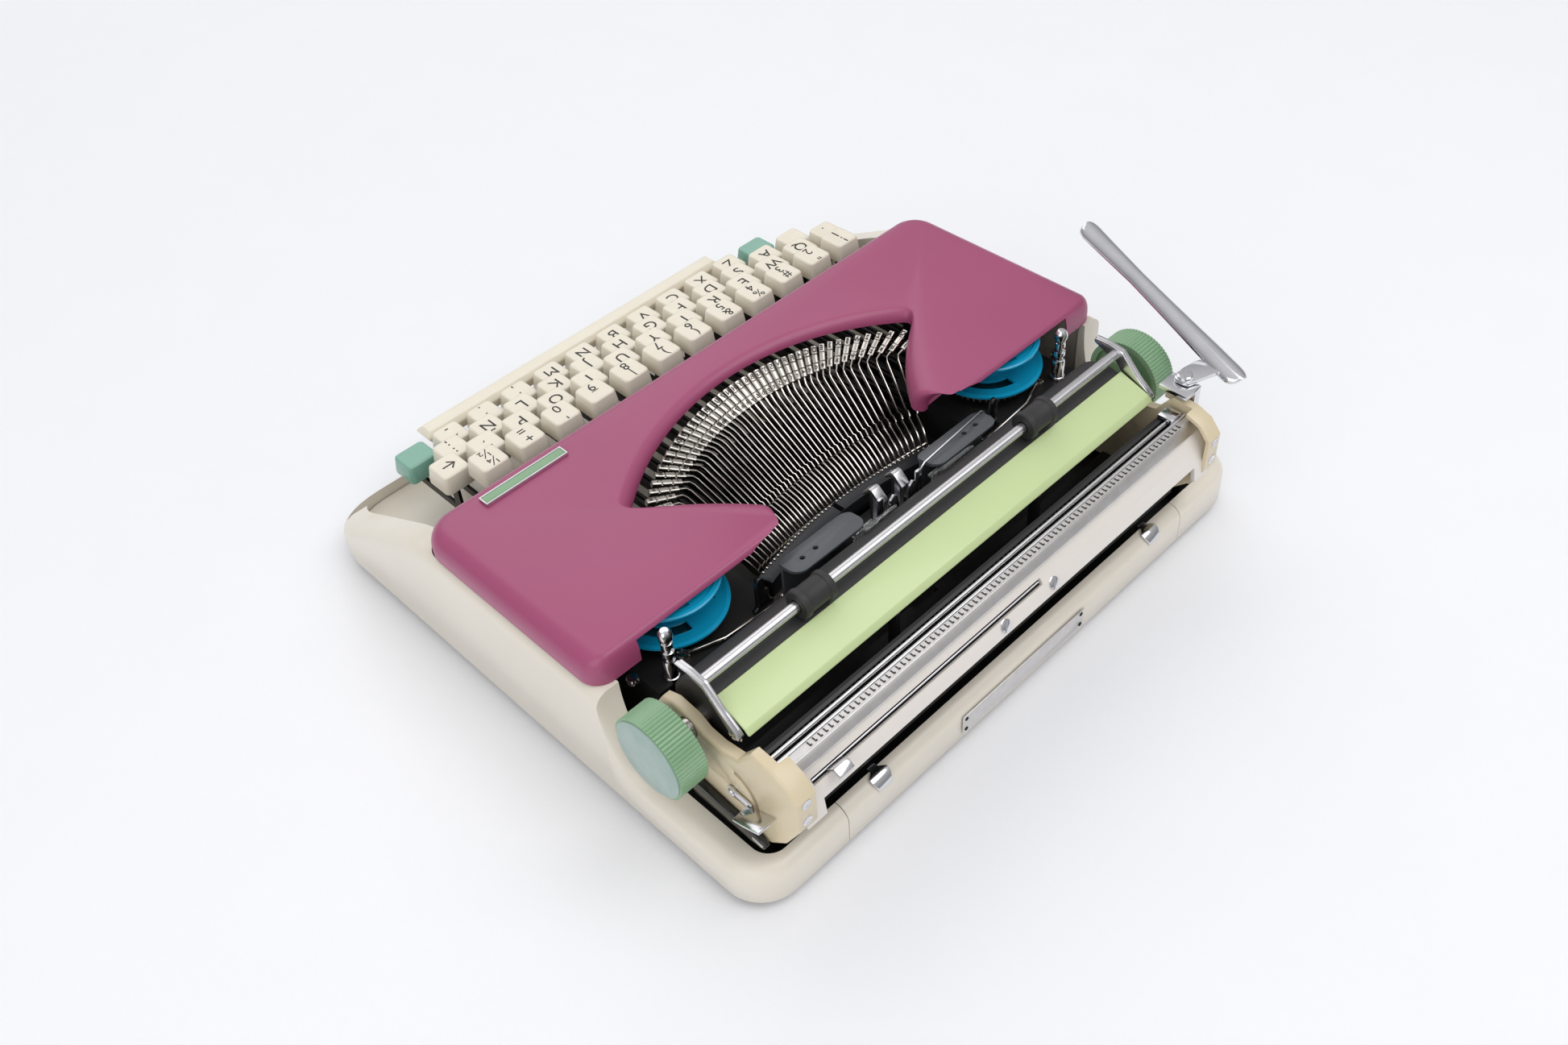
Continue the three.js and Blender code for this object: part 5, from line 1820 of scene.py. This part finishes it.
# ---- carriage
@dataclass
class Carriage(Assembly):
    """Sliding carriage: end plates, rear cover, margin rack, paper table, platen and knobs."""

    centre: float = 10.0
    half_inside: float = 115.6
    plate: float = 4.6
    half_platen: float = 113.0
    platen_y: float = 93.9
    platen_z: float = 59.5
    platen_radius: float = 15.0
    knob_inner: float = 129.5
    knob_width: float = 10.0
    knob_radius: float = 16.6
    flutes: int = 68
    flute_depth: float = 0.45
    clearance: float = 0.3
    tooth_pitch: float = 2.54
    release_pin: Point2 = (114.3, 42.9)

    def rail(self, name: str, outline: Sequence[Point2], low: float, high: float) -> Object:
        """Raise a side outline between two places along the carriage."""
        return self.bench.prism(name, outline, Plane.SIDE, self.centre + low, self.centre + high)

    def bar(self, name: str, radius: float, low: float, high: float, y: float, z: float) -> Object:
        """Round bar between two places along the carriage."""
        return self.bench.rod(name, radius, (self.centre + low, self.centre + high), y, z)

    def end_plates(self) -> None:
        """Cream end plates with rounded edges, a wrapped rear flange and its two screws."""
        outline = [(72, 36), (68.5, 44), (79.6, 63), (86, 65.6), (95.4, 64.4), (101, 61.2), (108, 60.6),
                   (117.5, 62.4), (124.6, 72.2), (133.5, 71.4), (140.4, 68.8), (145.4, 63), (145.4, 48),
                   (138, 34), (131, 27), (125, 24.6), (93, 24.6), (80, 29)]
        flange = [(133.5, 71.4), (140.4, 68.8), (145.4, 63), (145.4, 48), (140, 37.4), (138.6, 38),
                  (143.8, 48.4), (143.9, 62.4), (139.6, 67.4), (133.4, 69.8)]
        inner, outer = self.half_inside, self.half_inside + self.plate
        for side, sign in (("left", -1), ("right", 1)):
            node = f"end_plate_{side}"
            low, high = mirrored(sign, inner, outer)
            plate = self.rail(node + "_enamelled", outline, low, high)
            wrap = self.rail("wrap", flange, *mirrored(sign, inner - 4.2, inner + 1))
            combine(plate, wrap, Merge.ADD)
            face = self.bench.datum.at(self.centre + sign * outer, 0, 0).x
            bevel_where(plate, lambda a, b: abs(a.x - face) < 1e-5 and abs(b.x - face) < 1e-5, 1.5, 4)
            combine(plate, self.bar("bore", 4.3, low - 2, high + 2, self.platen_y, self.platen_z))
            if side == "right":
                pin = self.release_pin
                combine(plate, self.bar("pin_hole", 2.2, low - 2, high + 2, *pin))
                slot = arc(pin, 12.2, -8, 84, 12) + arc(pin, 9.8, 84, -8, 12)
                combine(plate, self.rail("slot", slot, low - 2, high + 2))
            self.put(soften(plate, 0.5, 3, 50), IVORY_ENAMEL, "carriage", "cream_paint", node)
            middle = self.centre + sign * (inner + 0.2)
            heads = [self.bench.screw("screw", (middle, 145.35, z), 2.0, 0.5, (0, 1, 0), 40 + 3 * z)
                     for z in (60.5, 51.5)]
            heads.append(self.bench.screw("screw", (self.centre + sign * outer, 84, 58), 1.5, 0.6,
                                          (sign, 0, 0), 10))
            self.put(join(node + "_screws", heads), CHROME, "carriage", "chrome")

    def rear_cover(self) -> None:
        """Pressed cover behind the platen with a long window, its track, a black sheet of painted shade
        inside the window, and two screws.
        """
        half = self.half_inside - self.clearance
        main = [(131.6, 67.4), (134, 66.4), (138, 62.6), (141.4, 58), (143.8, 52.4), (142, 51.6),
                (139.7, 57), (136.6, 61.2), (133, 64.6), (131.6, 65.4)]
        lobe = [(131.6, 67.4), (134, 66.4), (138, 62.6), (141.4, 58), (143.8, 52.4), (145, 45),
                (143.1, 44.8), (142, 51.6), (139.7, 57), (136.6, 61.2), (133, 64.6), (131.6, 65.4)]
        cover = self.rail("rear_cover_enamelled", main, -half, half)
        for low in (-half, half - 9):
            combine(cover, self.rail("lobe", lobe, low, low + 9), Merge.ADD)
        window = [(136.8, 58.6), (138.5, 56.3), (143.5, 60.0), (141.8, 62.3)]
        combine(cover, self.rail("window", window, -12, 108))
        self.put(soften(cover, 0.5, 3, 45), PALE_ENAMEL, "carriage", "cream_paint", "carriage_rear_cover")
        # Black sheet closing the window from inside: painted shade, so that the window reads dark.
        backing = [(136.2, 58.2), (137.9, 55.9), (138.5, 56.3), (136.8, 58.6)]
        self.put(self.rail("window_backing", backing, -11.8, 107.8), BLACK_ENAMEL, "carriage", "black_paint")
        self.put(self.bar("window_track", 0.4, -11.6, 107.6, 139.4, 58.9), CHROME, "carriage", "chrome")
        outward = (0, 0.80, 0.59)
        heads = [self.bench.screw("screw", (self.centre + x, 142.3, 56.0), 2.5, 0.8, outward, 50)
                 for x in (-17, 11)]
        self.put(join("rear_cover_screws", heads), CHROME, "carriage", "chrome")

    def margin_gear(self) -> None:
        """Toothed margin rack painted black as the shade of the recess behind the paper table, bright rails,
        scale with its ticks, and both margin stops.
        """
        half = self.half_inside - 1
        rack = [self.bench.block("rack", (self.centre - half, self.centre + half), (125, 126.4),
                                 (63.9, 67.4))]
        pitch = self.tooth_pitch
        count = int(2 * (half - 3) / pitch)
        first = self.centre - half + 3
        rack += [self.bench.block("tooth", (first + i * pitch, first + i * pitch + 1.2), (126.3, 127.2),
                                  (64.2, 66.4)) for i in range(count)]
        # The steel rack gets black enamel: painted shade for the dark recess behind the paper table.
        self.put(join("margin_rack_toothed", rack), BLACK_ENAMEL, "carriage", "type_steel", "margin_rack")
        for name, y, z, radius in (("front_rail", 127.8, 67.0, 0.7), ("rear_rail", 131.4, 67.9, 0.75)):
            self.put(self.bar(name, radius, -half, half, y, z), SATIN_CHROME, "carriage", "chrome")
        bed = [(126.9, 66.2), (128.6, 66.2), (128.6, 66.8), (126.9, 66.8)]
        self.put(self.rail("rail_bed", bed, -half, half), BRUSHED_PLATE, "carriage", "chrome")
        scale = [(130.7, 67.5), (135.0, 67.5), (135.0, 67.9), (130.7, 67.9)]
        self.put(self.rail("margin_scale", scale, -half, half), BRUSHED_PLATE, "carriage", "chrome")
        ticks = []
        for i in range(int(2 * (half - 8) / pitch)):
            x = self.centre - half + 8 + i * pitch
            ticks.append(self.bench.block("tick", (x, x + 0.5), (132.4, 134.4), (67.8, 68.1)))
            ticks.append(self.bench.block("foot", (x - 0.5, x + 0.1), (133.9, 134.4), (67.8, 68.1)))
        self.put(join("scale_ticks", ticks), INKED_TYPE, "carriage", "black_paint")
        strip = [(134.5, 67.6), (134.6, 66.9), (137.2, 64.2), (138.0, 64.0), (138.1, 64.6), (136.6, 66.4),
                 (135.4, 67.9)]
        edge = soften(self.rail("bright_strip", strip, -half, half), 0.3, 2, 30)
        self.put(edge, BRUSHED_PLATE, "carriage", "chrome")
        stop = [(137.3, 57.4), (138.1, 56.4), (143.3, 60.2), (146.2, 58.8), (146.4, 60.2), (143.4, 62.2)]
        tab = soften(self.rail("margin_tab_right", stop, 94, 101), 0.3, 2, 40)
        self.put(tab, CHROME, "margin_stop_right_body", "chrome", "margin_stop_right")
        saddle = [(124, 64.2), (124.7, 64.2), (124.7, 67.8), (128.7, 67.8), (128.7, 64.2), (130.6, 64.2),
                  (130.6, 69.4), (124, 69.4)]
        slider = soften(self.rail("margin_tab_left", saddle, -113, -106), 0.3, 2, 40)
        self.put(slider, CHROME, "margin_stop_left_body", "chrome", "margin_stop_left")

    def paper_table(self) -> None:
        """Lime paper table with a folded rear edge, on two black legs."""
        table = [(100.4, 73.6), (100.8, 74.9), (114.9, 70.1), (117.2, 67.8), (116.2, 67.0), (114.2, 68.9)]
        sheet = self.rail("paper_table_lime", table, -113, 113)
        self.put(soften(sheet, 0.45, 3, 25), LIME_ENAMEL, "carriage", "lime_paint", "paper_table")
        leg = [(113, 40), (121.2, 40), (121.2, 44), (117, 46), (117, 67.2), (113, 68.8)]
        legs = [self.rail("leg", leg, x - 1, x + 1) for x in (-40, 40)]
        self.put(join("paper_table_legs", legs), BLACK_CASTING, "carriage", "lime_paint", "paper_table")

    def platen(self) -> None:
        """Ground rubber roller on a steel shaft."""
        half, y, z = self.half_platen, self.platen_y, self.platen_z
        roller = self.bar("platen_ground", self.platen_radius, -half, half, y, z)
        self.put(roller, PLATEN_RUBBER, "platen_roller", "platen_rubber", "platen")
        reach = self.knob_inner + self.knob_width - 2
        shaft = self.bar("platen_shaft", 4.0, -reach, reach, y, z)
        self.put(shaft, TYPE_STEEL, "platen_roller", "type_steel", "platen")

    def knobs(self) -> None:
        """Knobs with a fluted green rim and a smooth pale face."""
        axis = (self.platen_y, self.platen_z)
        high = self.knob_radius
        rim = toothed(axis, self.flutes, ((0.0, high - self.flute_depth), (0.28, high), (0.72, high)))
        for side, sign in (("left", -1), ("right", 1)):
            node = f"knob_{side}"
            inner = sign * (self.knob_inner - 3)
            outer = sign * (self.knob_inner + self.knob_width - 1)
            body = self.rail(node + "_fluted", rim, *sorted((inner, outer)))
            combine(body, self.bar("hollow", 14.2, *sorted((inner - sign, inner + sign * 2)), *axis))
            hub = self.bar("hub", 9.0, *sorted((inner - sign * 3, inner + sign * 3)), *axis)
            combine(body, hub, Merge.ADD)
            self.put(smooth(body, 40), KNOB_RIM, "platen_roller", "knob_plastic", node)
            cap = [(0, 0), (15.6, 0), (15.6, sign * 0.5), (15.0, sign * 0.9), (6, sign * 1.0),
                   (0, sign * 1.0)]
            face = self.bench.turned(node + "_face", cap, (self.centre + outer, *axis), True, 64,
                                     closed=False)
            self.put(smooth(face, 40), KNOB_FACE, "platen_roller", "knob_plastic", node)

    def levers(self) -> None:
        """Paper release tab and carriage release lever on the right end plate."""
        inner, outer = self.half_inside, self.half_inside + self.plate
        tab = [(121.6, 41.8), (122.2, 41.0), (127, 42.4), (135.2, 46.0), (134.8, 46.9), (126.4, 43.4)]
        arm = [(112.4, 41), (124, 41), (124, 44.0), (112.4, 44.8)]
        pieces = [self.rail("tab", tab, outer + 0.3, outer + 8.4),
                  self.rail("arm", arm, outer + 0.3, outer + 1.5)]
        lever = [soften(piece, 0.4, 2, 40) for piece in pieces]
        lever.append(self.bar("pin", 1.8, inner - 1, outer + 2.2, *self.release_pin))
        self.put(join("paper_release_plated", lever), CHROME, "paper_release_lever_body", "chrome",
                 "paper_release_lever")
        release = [(92, 31), (96, 26.4), (124, 25.6), (130.5, 26.4), (131.5, 28.6), (126, 31), (100, 34),
                   (94, 34.6)]
        blade = soften(self.rail("carriage_release_blade", release, outer + 0.6, outer + 3.4), 0.6, 3, 20)
        self.put(blade, BLACK_ENAMEL, "carriage_release_lever_body", "black_paint", "carriage_release_lever")
        tip = soften(self.rail("carriage_release_tip", [(125, 29.5), (125, 27), (130, 27.2), (130.6, 28.8)],
                               outer + 0.4, outer + 3.6), 0.4, 2, 20)
        self.put(tip, CHROME, "carriage_release_lever_body", "chrome")

    def build(self) -> None:
        """Build everything that slides with the carriage, apart from the bail and the return lever."""
        self.end_plates()
        self.rear_cover()
        self.margin_gear()
        self.paper_table()
        self.platen()
        self.knobs()
        self.levers()
        dress_node("carriage_frame", self.paints.get(BLACK_CASTING))


@dataclass
class PaperBail(Assembly):
    """Chromed bail rod with two rubber rollers between two bent arms."""

    centre: float = Carriage.centre
    y: float = 96.5
    z: float = 80.5
    rod: float = 2.15
    roller: float = 5.8
    roller_length: float = 15.0
    roller_x: float = 62.0
    arm: float = 1.3
    arm_inner: float = 113.6
    pivot: Point2 = (112.0, 66.0)

    def build(self) -> None:
        """Build the arms, the rod and the collared rollers."""
        bench, y, z = self.bench, self.y, self.z
        py, pz = self.pivot
        outline = [(py + 3, pz - 1.5), (py + 3.4, pz + 1.5), (py + 2, pz + 3.6), (py - 4, pz + 8.4),
                   (y + 3, z + 2.6), (y - 4, z + 3.6), (y - 10.2, z + 3.4), (y - 10.4, z + 1.6),
                   (y - 4, z - 1.4), (y + 1, z - 3), (py - 3.4, pz - 1.6)]
        pieces = []
        for sign in (-1, 1):
            low, high = mirrored(sign, self.arm_inner, self.arm_inner + self.arm)
            arm = bench.prism("bail_arm", outline, Plane.SIDE, self.centre + low, self.centre + high)
            bevel_where(arm, lambda a, b: abs(a.x - b.x) > 0.5 * MM, 1.0, 3)
            pieces.append(soften(arm, 0.25, 2, 50))
            edge = outline[1:7]
            fold = edge + [(u - 0.5, v - 0.9) for u, v in reversed(edge)]
            outer = sign * (self.arm_inner + self.arm)
            wide = sorted((outer - sign * 0.2, outer + sign * 1.6))
            flange = bench.prism("flange", fold, Plane.SIDE, self.centre + wide[0], self.centre + wide[1])
            pieces.append(soften(flange, 0.2, 2, 50))
            boss = (self.centre + outer, py, pz + 1)
            pieces.append(bench.screw("bail_screw", boss, 2.3, 1.4, (sign, 0, 0), 60))
        reach = self.arm_inner + 0.5
        pieces.append(bench.rod("bail_rod", self.rod, (self.centre - reach, self.centre + reach), y, z))
        self.put(join("bail_plated", pieces), SATIN_CHROME, "bail", "chrome", "paper_bail")
        inner, big, length = self.rod + 0.3, self.roller, self.roller_length
        profile = [(inner, 0), (big - 0.5, 0), (big, 0.5), (big, 2.6), (big - 0.5, 3.0), (big - 0.6, 3.4),
                   (big - 0.6, length - 3.4), (big - 0.5, length - 3.0), (big, length - 2.6),
                   (big, length - 0.5), (big - 0.5, length), (inner, length)]
        for side, sign in (("left", -1), ("right", 1)):
            node = f"bail_roller_{side}"
            start = self.centre + sign * self.roller_x - length / 2
            sleeve = bench.turned(node + "_sleeve", profile, (start, y, z), along_x=True, steps=40)
            self.put(smooth(sleeve, 35), PLATEN_RUBBER, node + "_body", "platen_rubber", node)


@dataclass
class ReturnLever(Assembly):
    """Long chromed channel handle on a hooked web that swings over its bracket."""

    centre: float = Carriage.centre
    root: Point3 = (-136.6, 142.0, 78.6)
    tip: Point3 = (-160.0, 46.5, 99.0)
    pivot: Point2 = (-122.6, 124.0)
    bracket_top: float = 76.4
    plate_outer: float = -120.2

    def section(self, half: float, height: float, y: float) -> list[Point3]:
        """Section of the handle at a distance along it: a thin arch, open underneath.

        Args:
            half: half of its width.
            height: height of the arch.
            y: distance along the handle.

        Returns:
            The points in order.
        """
        wall = min(0.8, half * 0.4)
        turns = [math.radians(-86 + 172 * i / 14) for i in range(15)]
        outside = [(half * math.sin(a), y, height * (math.cos(a) - 1)) for a in turns]
        inside = [((half - wall) * math.sin(a), y, (height - wall) * math.cos(a) - height) for a in turns]
        return outside + inside[::-1]

    def handle(self) -> Object:
        """Arched channel, broad and round at its root and waisted towards the tip, tilted up.

        Returns:
            The handle in its place.
        """
        local = Workbench.at_origin()
        start, end = Vector(self.root), Vector(self.tip)
        length = (end - start).length
        stations = [(0.0, 1.2, 1.0), (0.6, 2.9, 2.4), (1.8, 4.3, 3.4), (3.6, 5.2, 3.9), (6.0, 5.5, 4.0),
                    (length * 0.2, 5.3, 4.0), (length * 0.45, 4.4, 3.9), (length * 0.65, 3.9, 3.8),
                    (length * 0.85, 4.6, 3.8), (length - 4.0, 5.0, 3.6), (length - 1.6, 4.5, 3.2),
                    (length - 0.5, 3.6, 2.6), (length, 2.2, 1.6)]
        rings = [self.section(half, height, y) for y, half, height in stations]
        bar = smooth(local.loft("channel", rings), 50)
        forward = (end - start).normalized()
        across = Vector((0, 0, 1)).cross(forward).normalized()
        up = forward.cross(across)
        if up.z < 0:
            up.negate()
        across = forward.cross(up)
        turn = Matrix((across, forward, up)).transposed().to_4x4()
        turn.translation = self.bench.datum.at(start.x + self.centre, start.y, start.z)
        bar.data.transform(turn)
        return face_out(bar)

    def build(self) -> None:
        """Build the bracket, the web with its pivot screw, and the handle."""
        bench, centre = self.bench, self.centre
        out, top = self.plate_outer, self.bracket_top
        shelf = bench.block("shelf", (centre + out - 4, centre + out + 6), (118, 131), (74.6, top))
        wall = bench.block("wall", (centre + out - 4, centre + out - 0.3), (118, 131), (66, top))
        combine(shelf, wall, Merge.ADD)
        px, py = self.pivot
        combine(shelf, bench.peg("bore", 1.9, (centre + px, py), 60, 90))
        self.put(soften(shelf, 0.5, 3, 40), CHROME, "carriage", "chrome", "return_lever_bracket")
        web = [(px + 3.4, py - 3.4), (px + 3.6, py + 3.4), (-130, 131), (-134, 133), (-138.5, 129),
               (-138.5, 124), (-134, 121.5), (px - 3, py - 4)]
        plate = bench.prism("web", [(centre + x, y) for x, y in web], Plane.PLAN, top + 0.3, top + 2)
        bevel_where(plate, lambda a, b: abs(a.z - b.z) > 0.5 * MM, 2.0, 4)
        soften(plate, 0.3, 2, 50)
        pin = bench.peg("pin", 1.6, (centre + px, py), 72, top + 2)
        head = bench.screw("head", (centre + px, py, top + 2), 3.2, 1.6)
        lever = join("return_lever_plated", [self.handle(), plate, pin, head])
        self.put(lever, CHROME, "return_lever_body", "chrome", "return_lever")


# ---- studio
@dataclass
class Studio:
    """Pale floor, soft lights and the camera."""

    eye: Point3 = (0.30287, 0.33855, 0.44824)
    forward: Point3 = (-0.4721, -0.5295, -0.7048)
    roll: float = 4.60
    lens: float = 32.90
    sensor: float = 36.0

    def floor(self) -> None:
        """Large pale table top with a faint, fine grain."""
        clear_selection()
        bpy.ops.mesh.primitive_plane_add(size=9, location=(0, 0, 0))
        table = bpy.context.object
        table.name = "floor"
        finish = Finish("white_cloth", "#f4f5f9", "#f1f2f6", 0.9, grain=1.1, relief=0.12, dust=0.3)
        table.data.materials.append(finish.material())

    def light(self, name: str, place: Point3, size: float, power: float) -> None:
        """Square area light that faces the machine.

        Args:
            name: name of the lamp.
            place: where it hangs, in metres.
            size: side of the lamp in metres.
            power: its power in watts.
        """
        lamp = bpy.data.lights.new(name, "AREA")
        lamp.shape = "SQUARE"
        lamp.size = size
        lamp.energy = power
        holder = bpy.data.objects.new(name, lamp)
        bpy.context.scene.collection.objects.link(holder)
        holder.location = place
        holder.rotation_euler = (Vector((0, 0, 0.03)) - Vector(place)).to_track_quat("-Z", "Y").to_euler()

    def camera(self) -> None:
        """Camera above the rear right corner, looking down on the machine with a slight roll."""
        forward = Vector(self.forward).normalized()
        right = forward.cross(Vector((0, 0, 1))).normalized()
        down = forward.cross(right)
        angle = math.radians(self.roll)
        across = right * math.cos(angle) + down * math.sin(angle)
        up = across.cross(forward)
        turn = Matrix((across, up, -forward)).transposed()
        data = bpy.data.cameras.new("camera")
        data.lens = self.lens
        data.sensor_width = self.sensor
        data.clip_start = 0.01
        holder = bpy.data.objects.new("camera", data)
        bpy.context.scene.collection.objects.link(holder)
        holder.matrix_world = Matrix.Translation(Vector(self.eye)) @ turn.to_4x4()
        bpy.context.scene.camera = holder

    def build(self) -> None:
        """Lay the floor, hang the lights and place the camera."""
        self.floor()
        self.light("key_light", (-0.4, 0.8, 1.6), 1.4, 11.5)
        self.light("side_light", (1.5, 0.5, 0.9), 1.5, 9)
        self.light("front_light", (-0.45, -1.4, 1.25), 1.7, 8)
        world = bpy.data.worlds.new("room")
        world.use_nodes = True
        tree = world.node_tree
        way = add_node(tree, "ShaderNodeTexCoord").outputs["Generated"]
        height = add_node(tree, "ShaderNodeSeparateXYZ", {"Vector": way}).outputs["Z"]
        glow = add_node(tree, "ShaderNodeMapRange",
                        {"Value": height, "From Min": 0.0, "From Max": 1.0, "To Min": 0.25, "To Max": 0.72})
        background = tree.nodes["Background"]
        background.inputs["Color"].default_value = linear("#ffffff")
        tree.links.new(glow.outputs["Result"], background.inputs["Strength"])
        bpy.context.scene.world = world
        bpy.context.scene.view_settings.view_transform = "Standard"
        self.camera()


def main() -> None:
    """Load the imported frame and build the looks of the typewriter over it."""
    logging.basicConfig(level=logging.INFO, format="%(name)s: %(message)s")
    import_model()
    bench = Workbench(Datum.from_shell())
    paints = Palette({})
    for assembly in (BodyShell, RibbonCover, Keyboard, TypeBasket, RibbonGear, Carriage, PaperBail,
                     ReturnLever):
        assembly(bench, paints).build()
    bench.clear_blanks()
    Studio().build()
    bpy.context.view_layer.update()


if __name__ == "__main__":
    main()
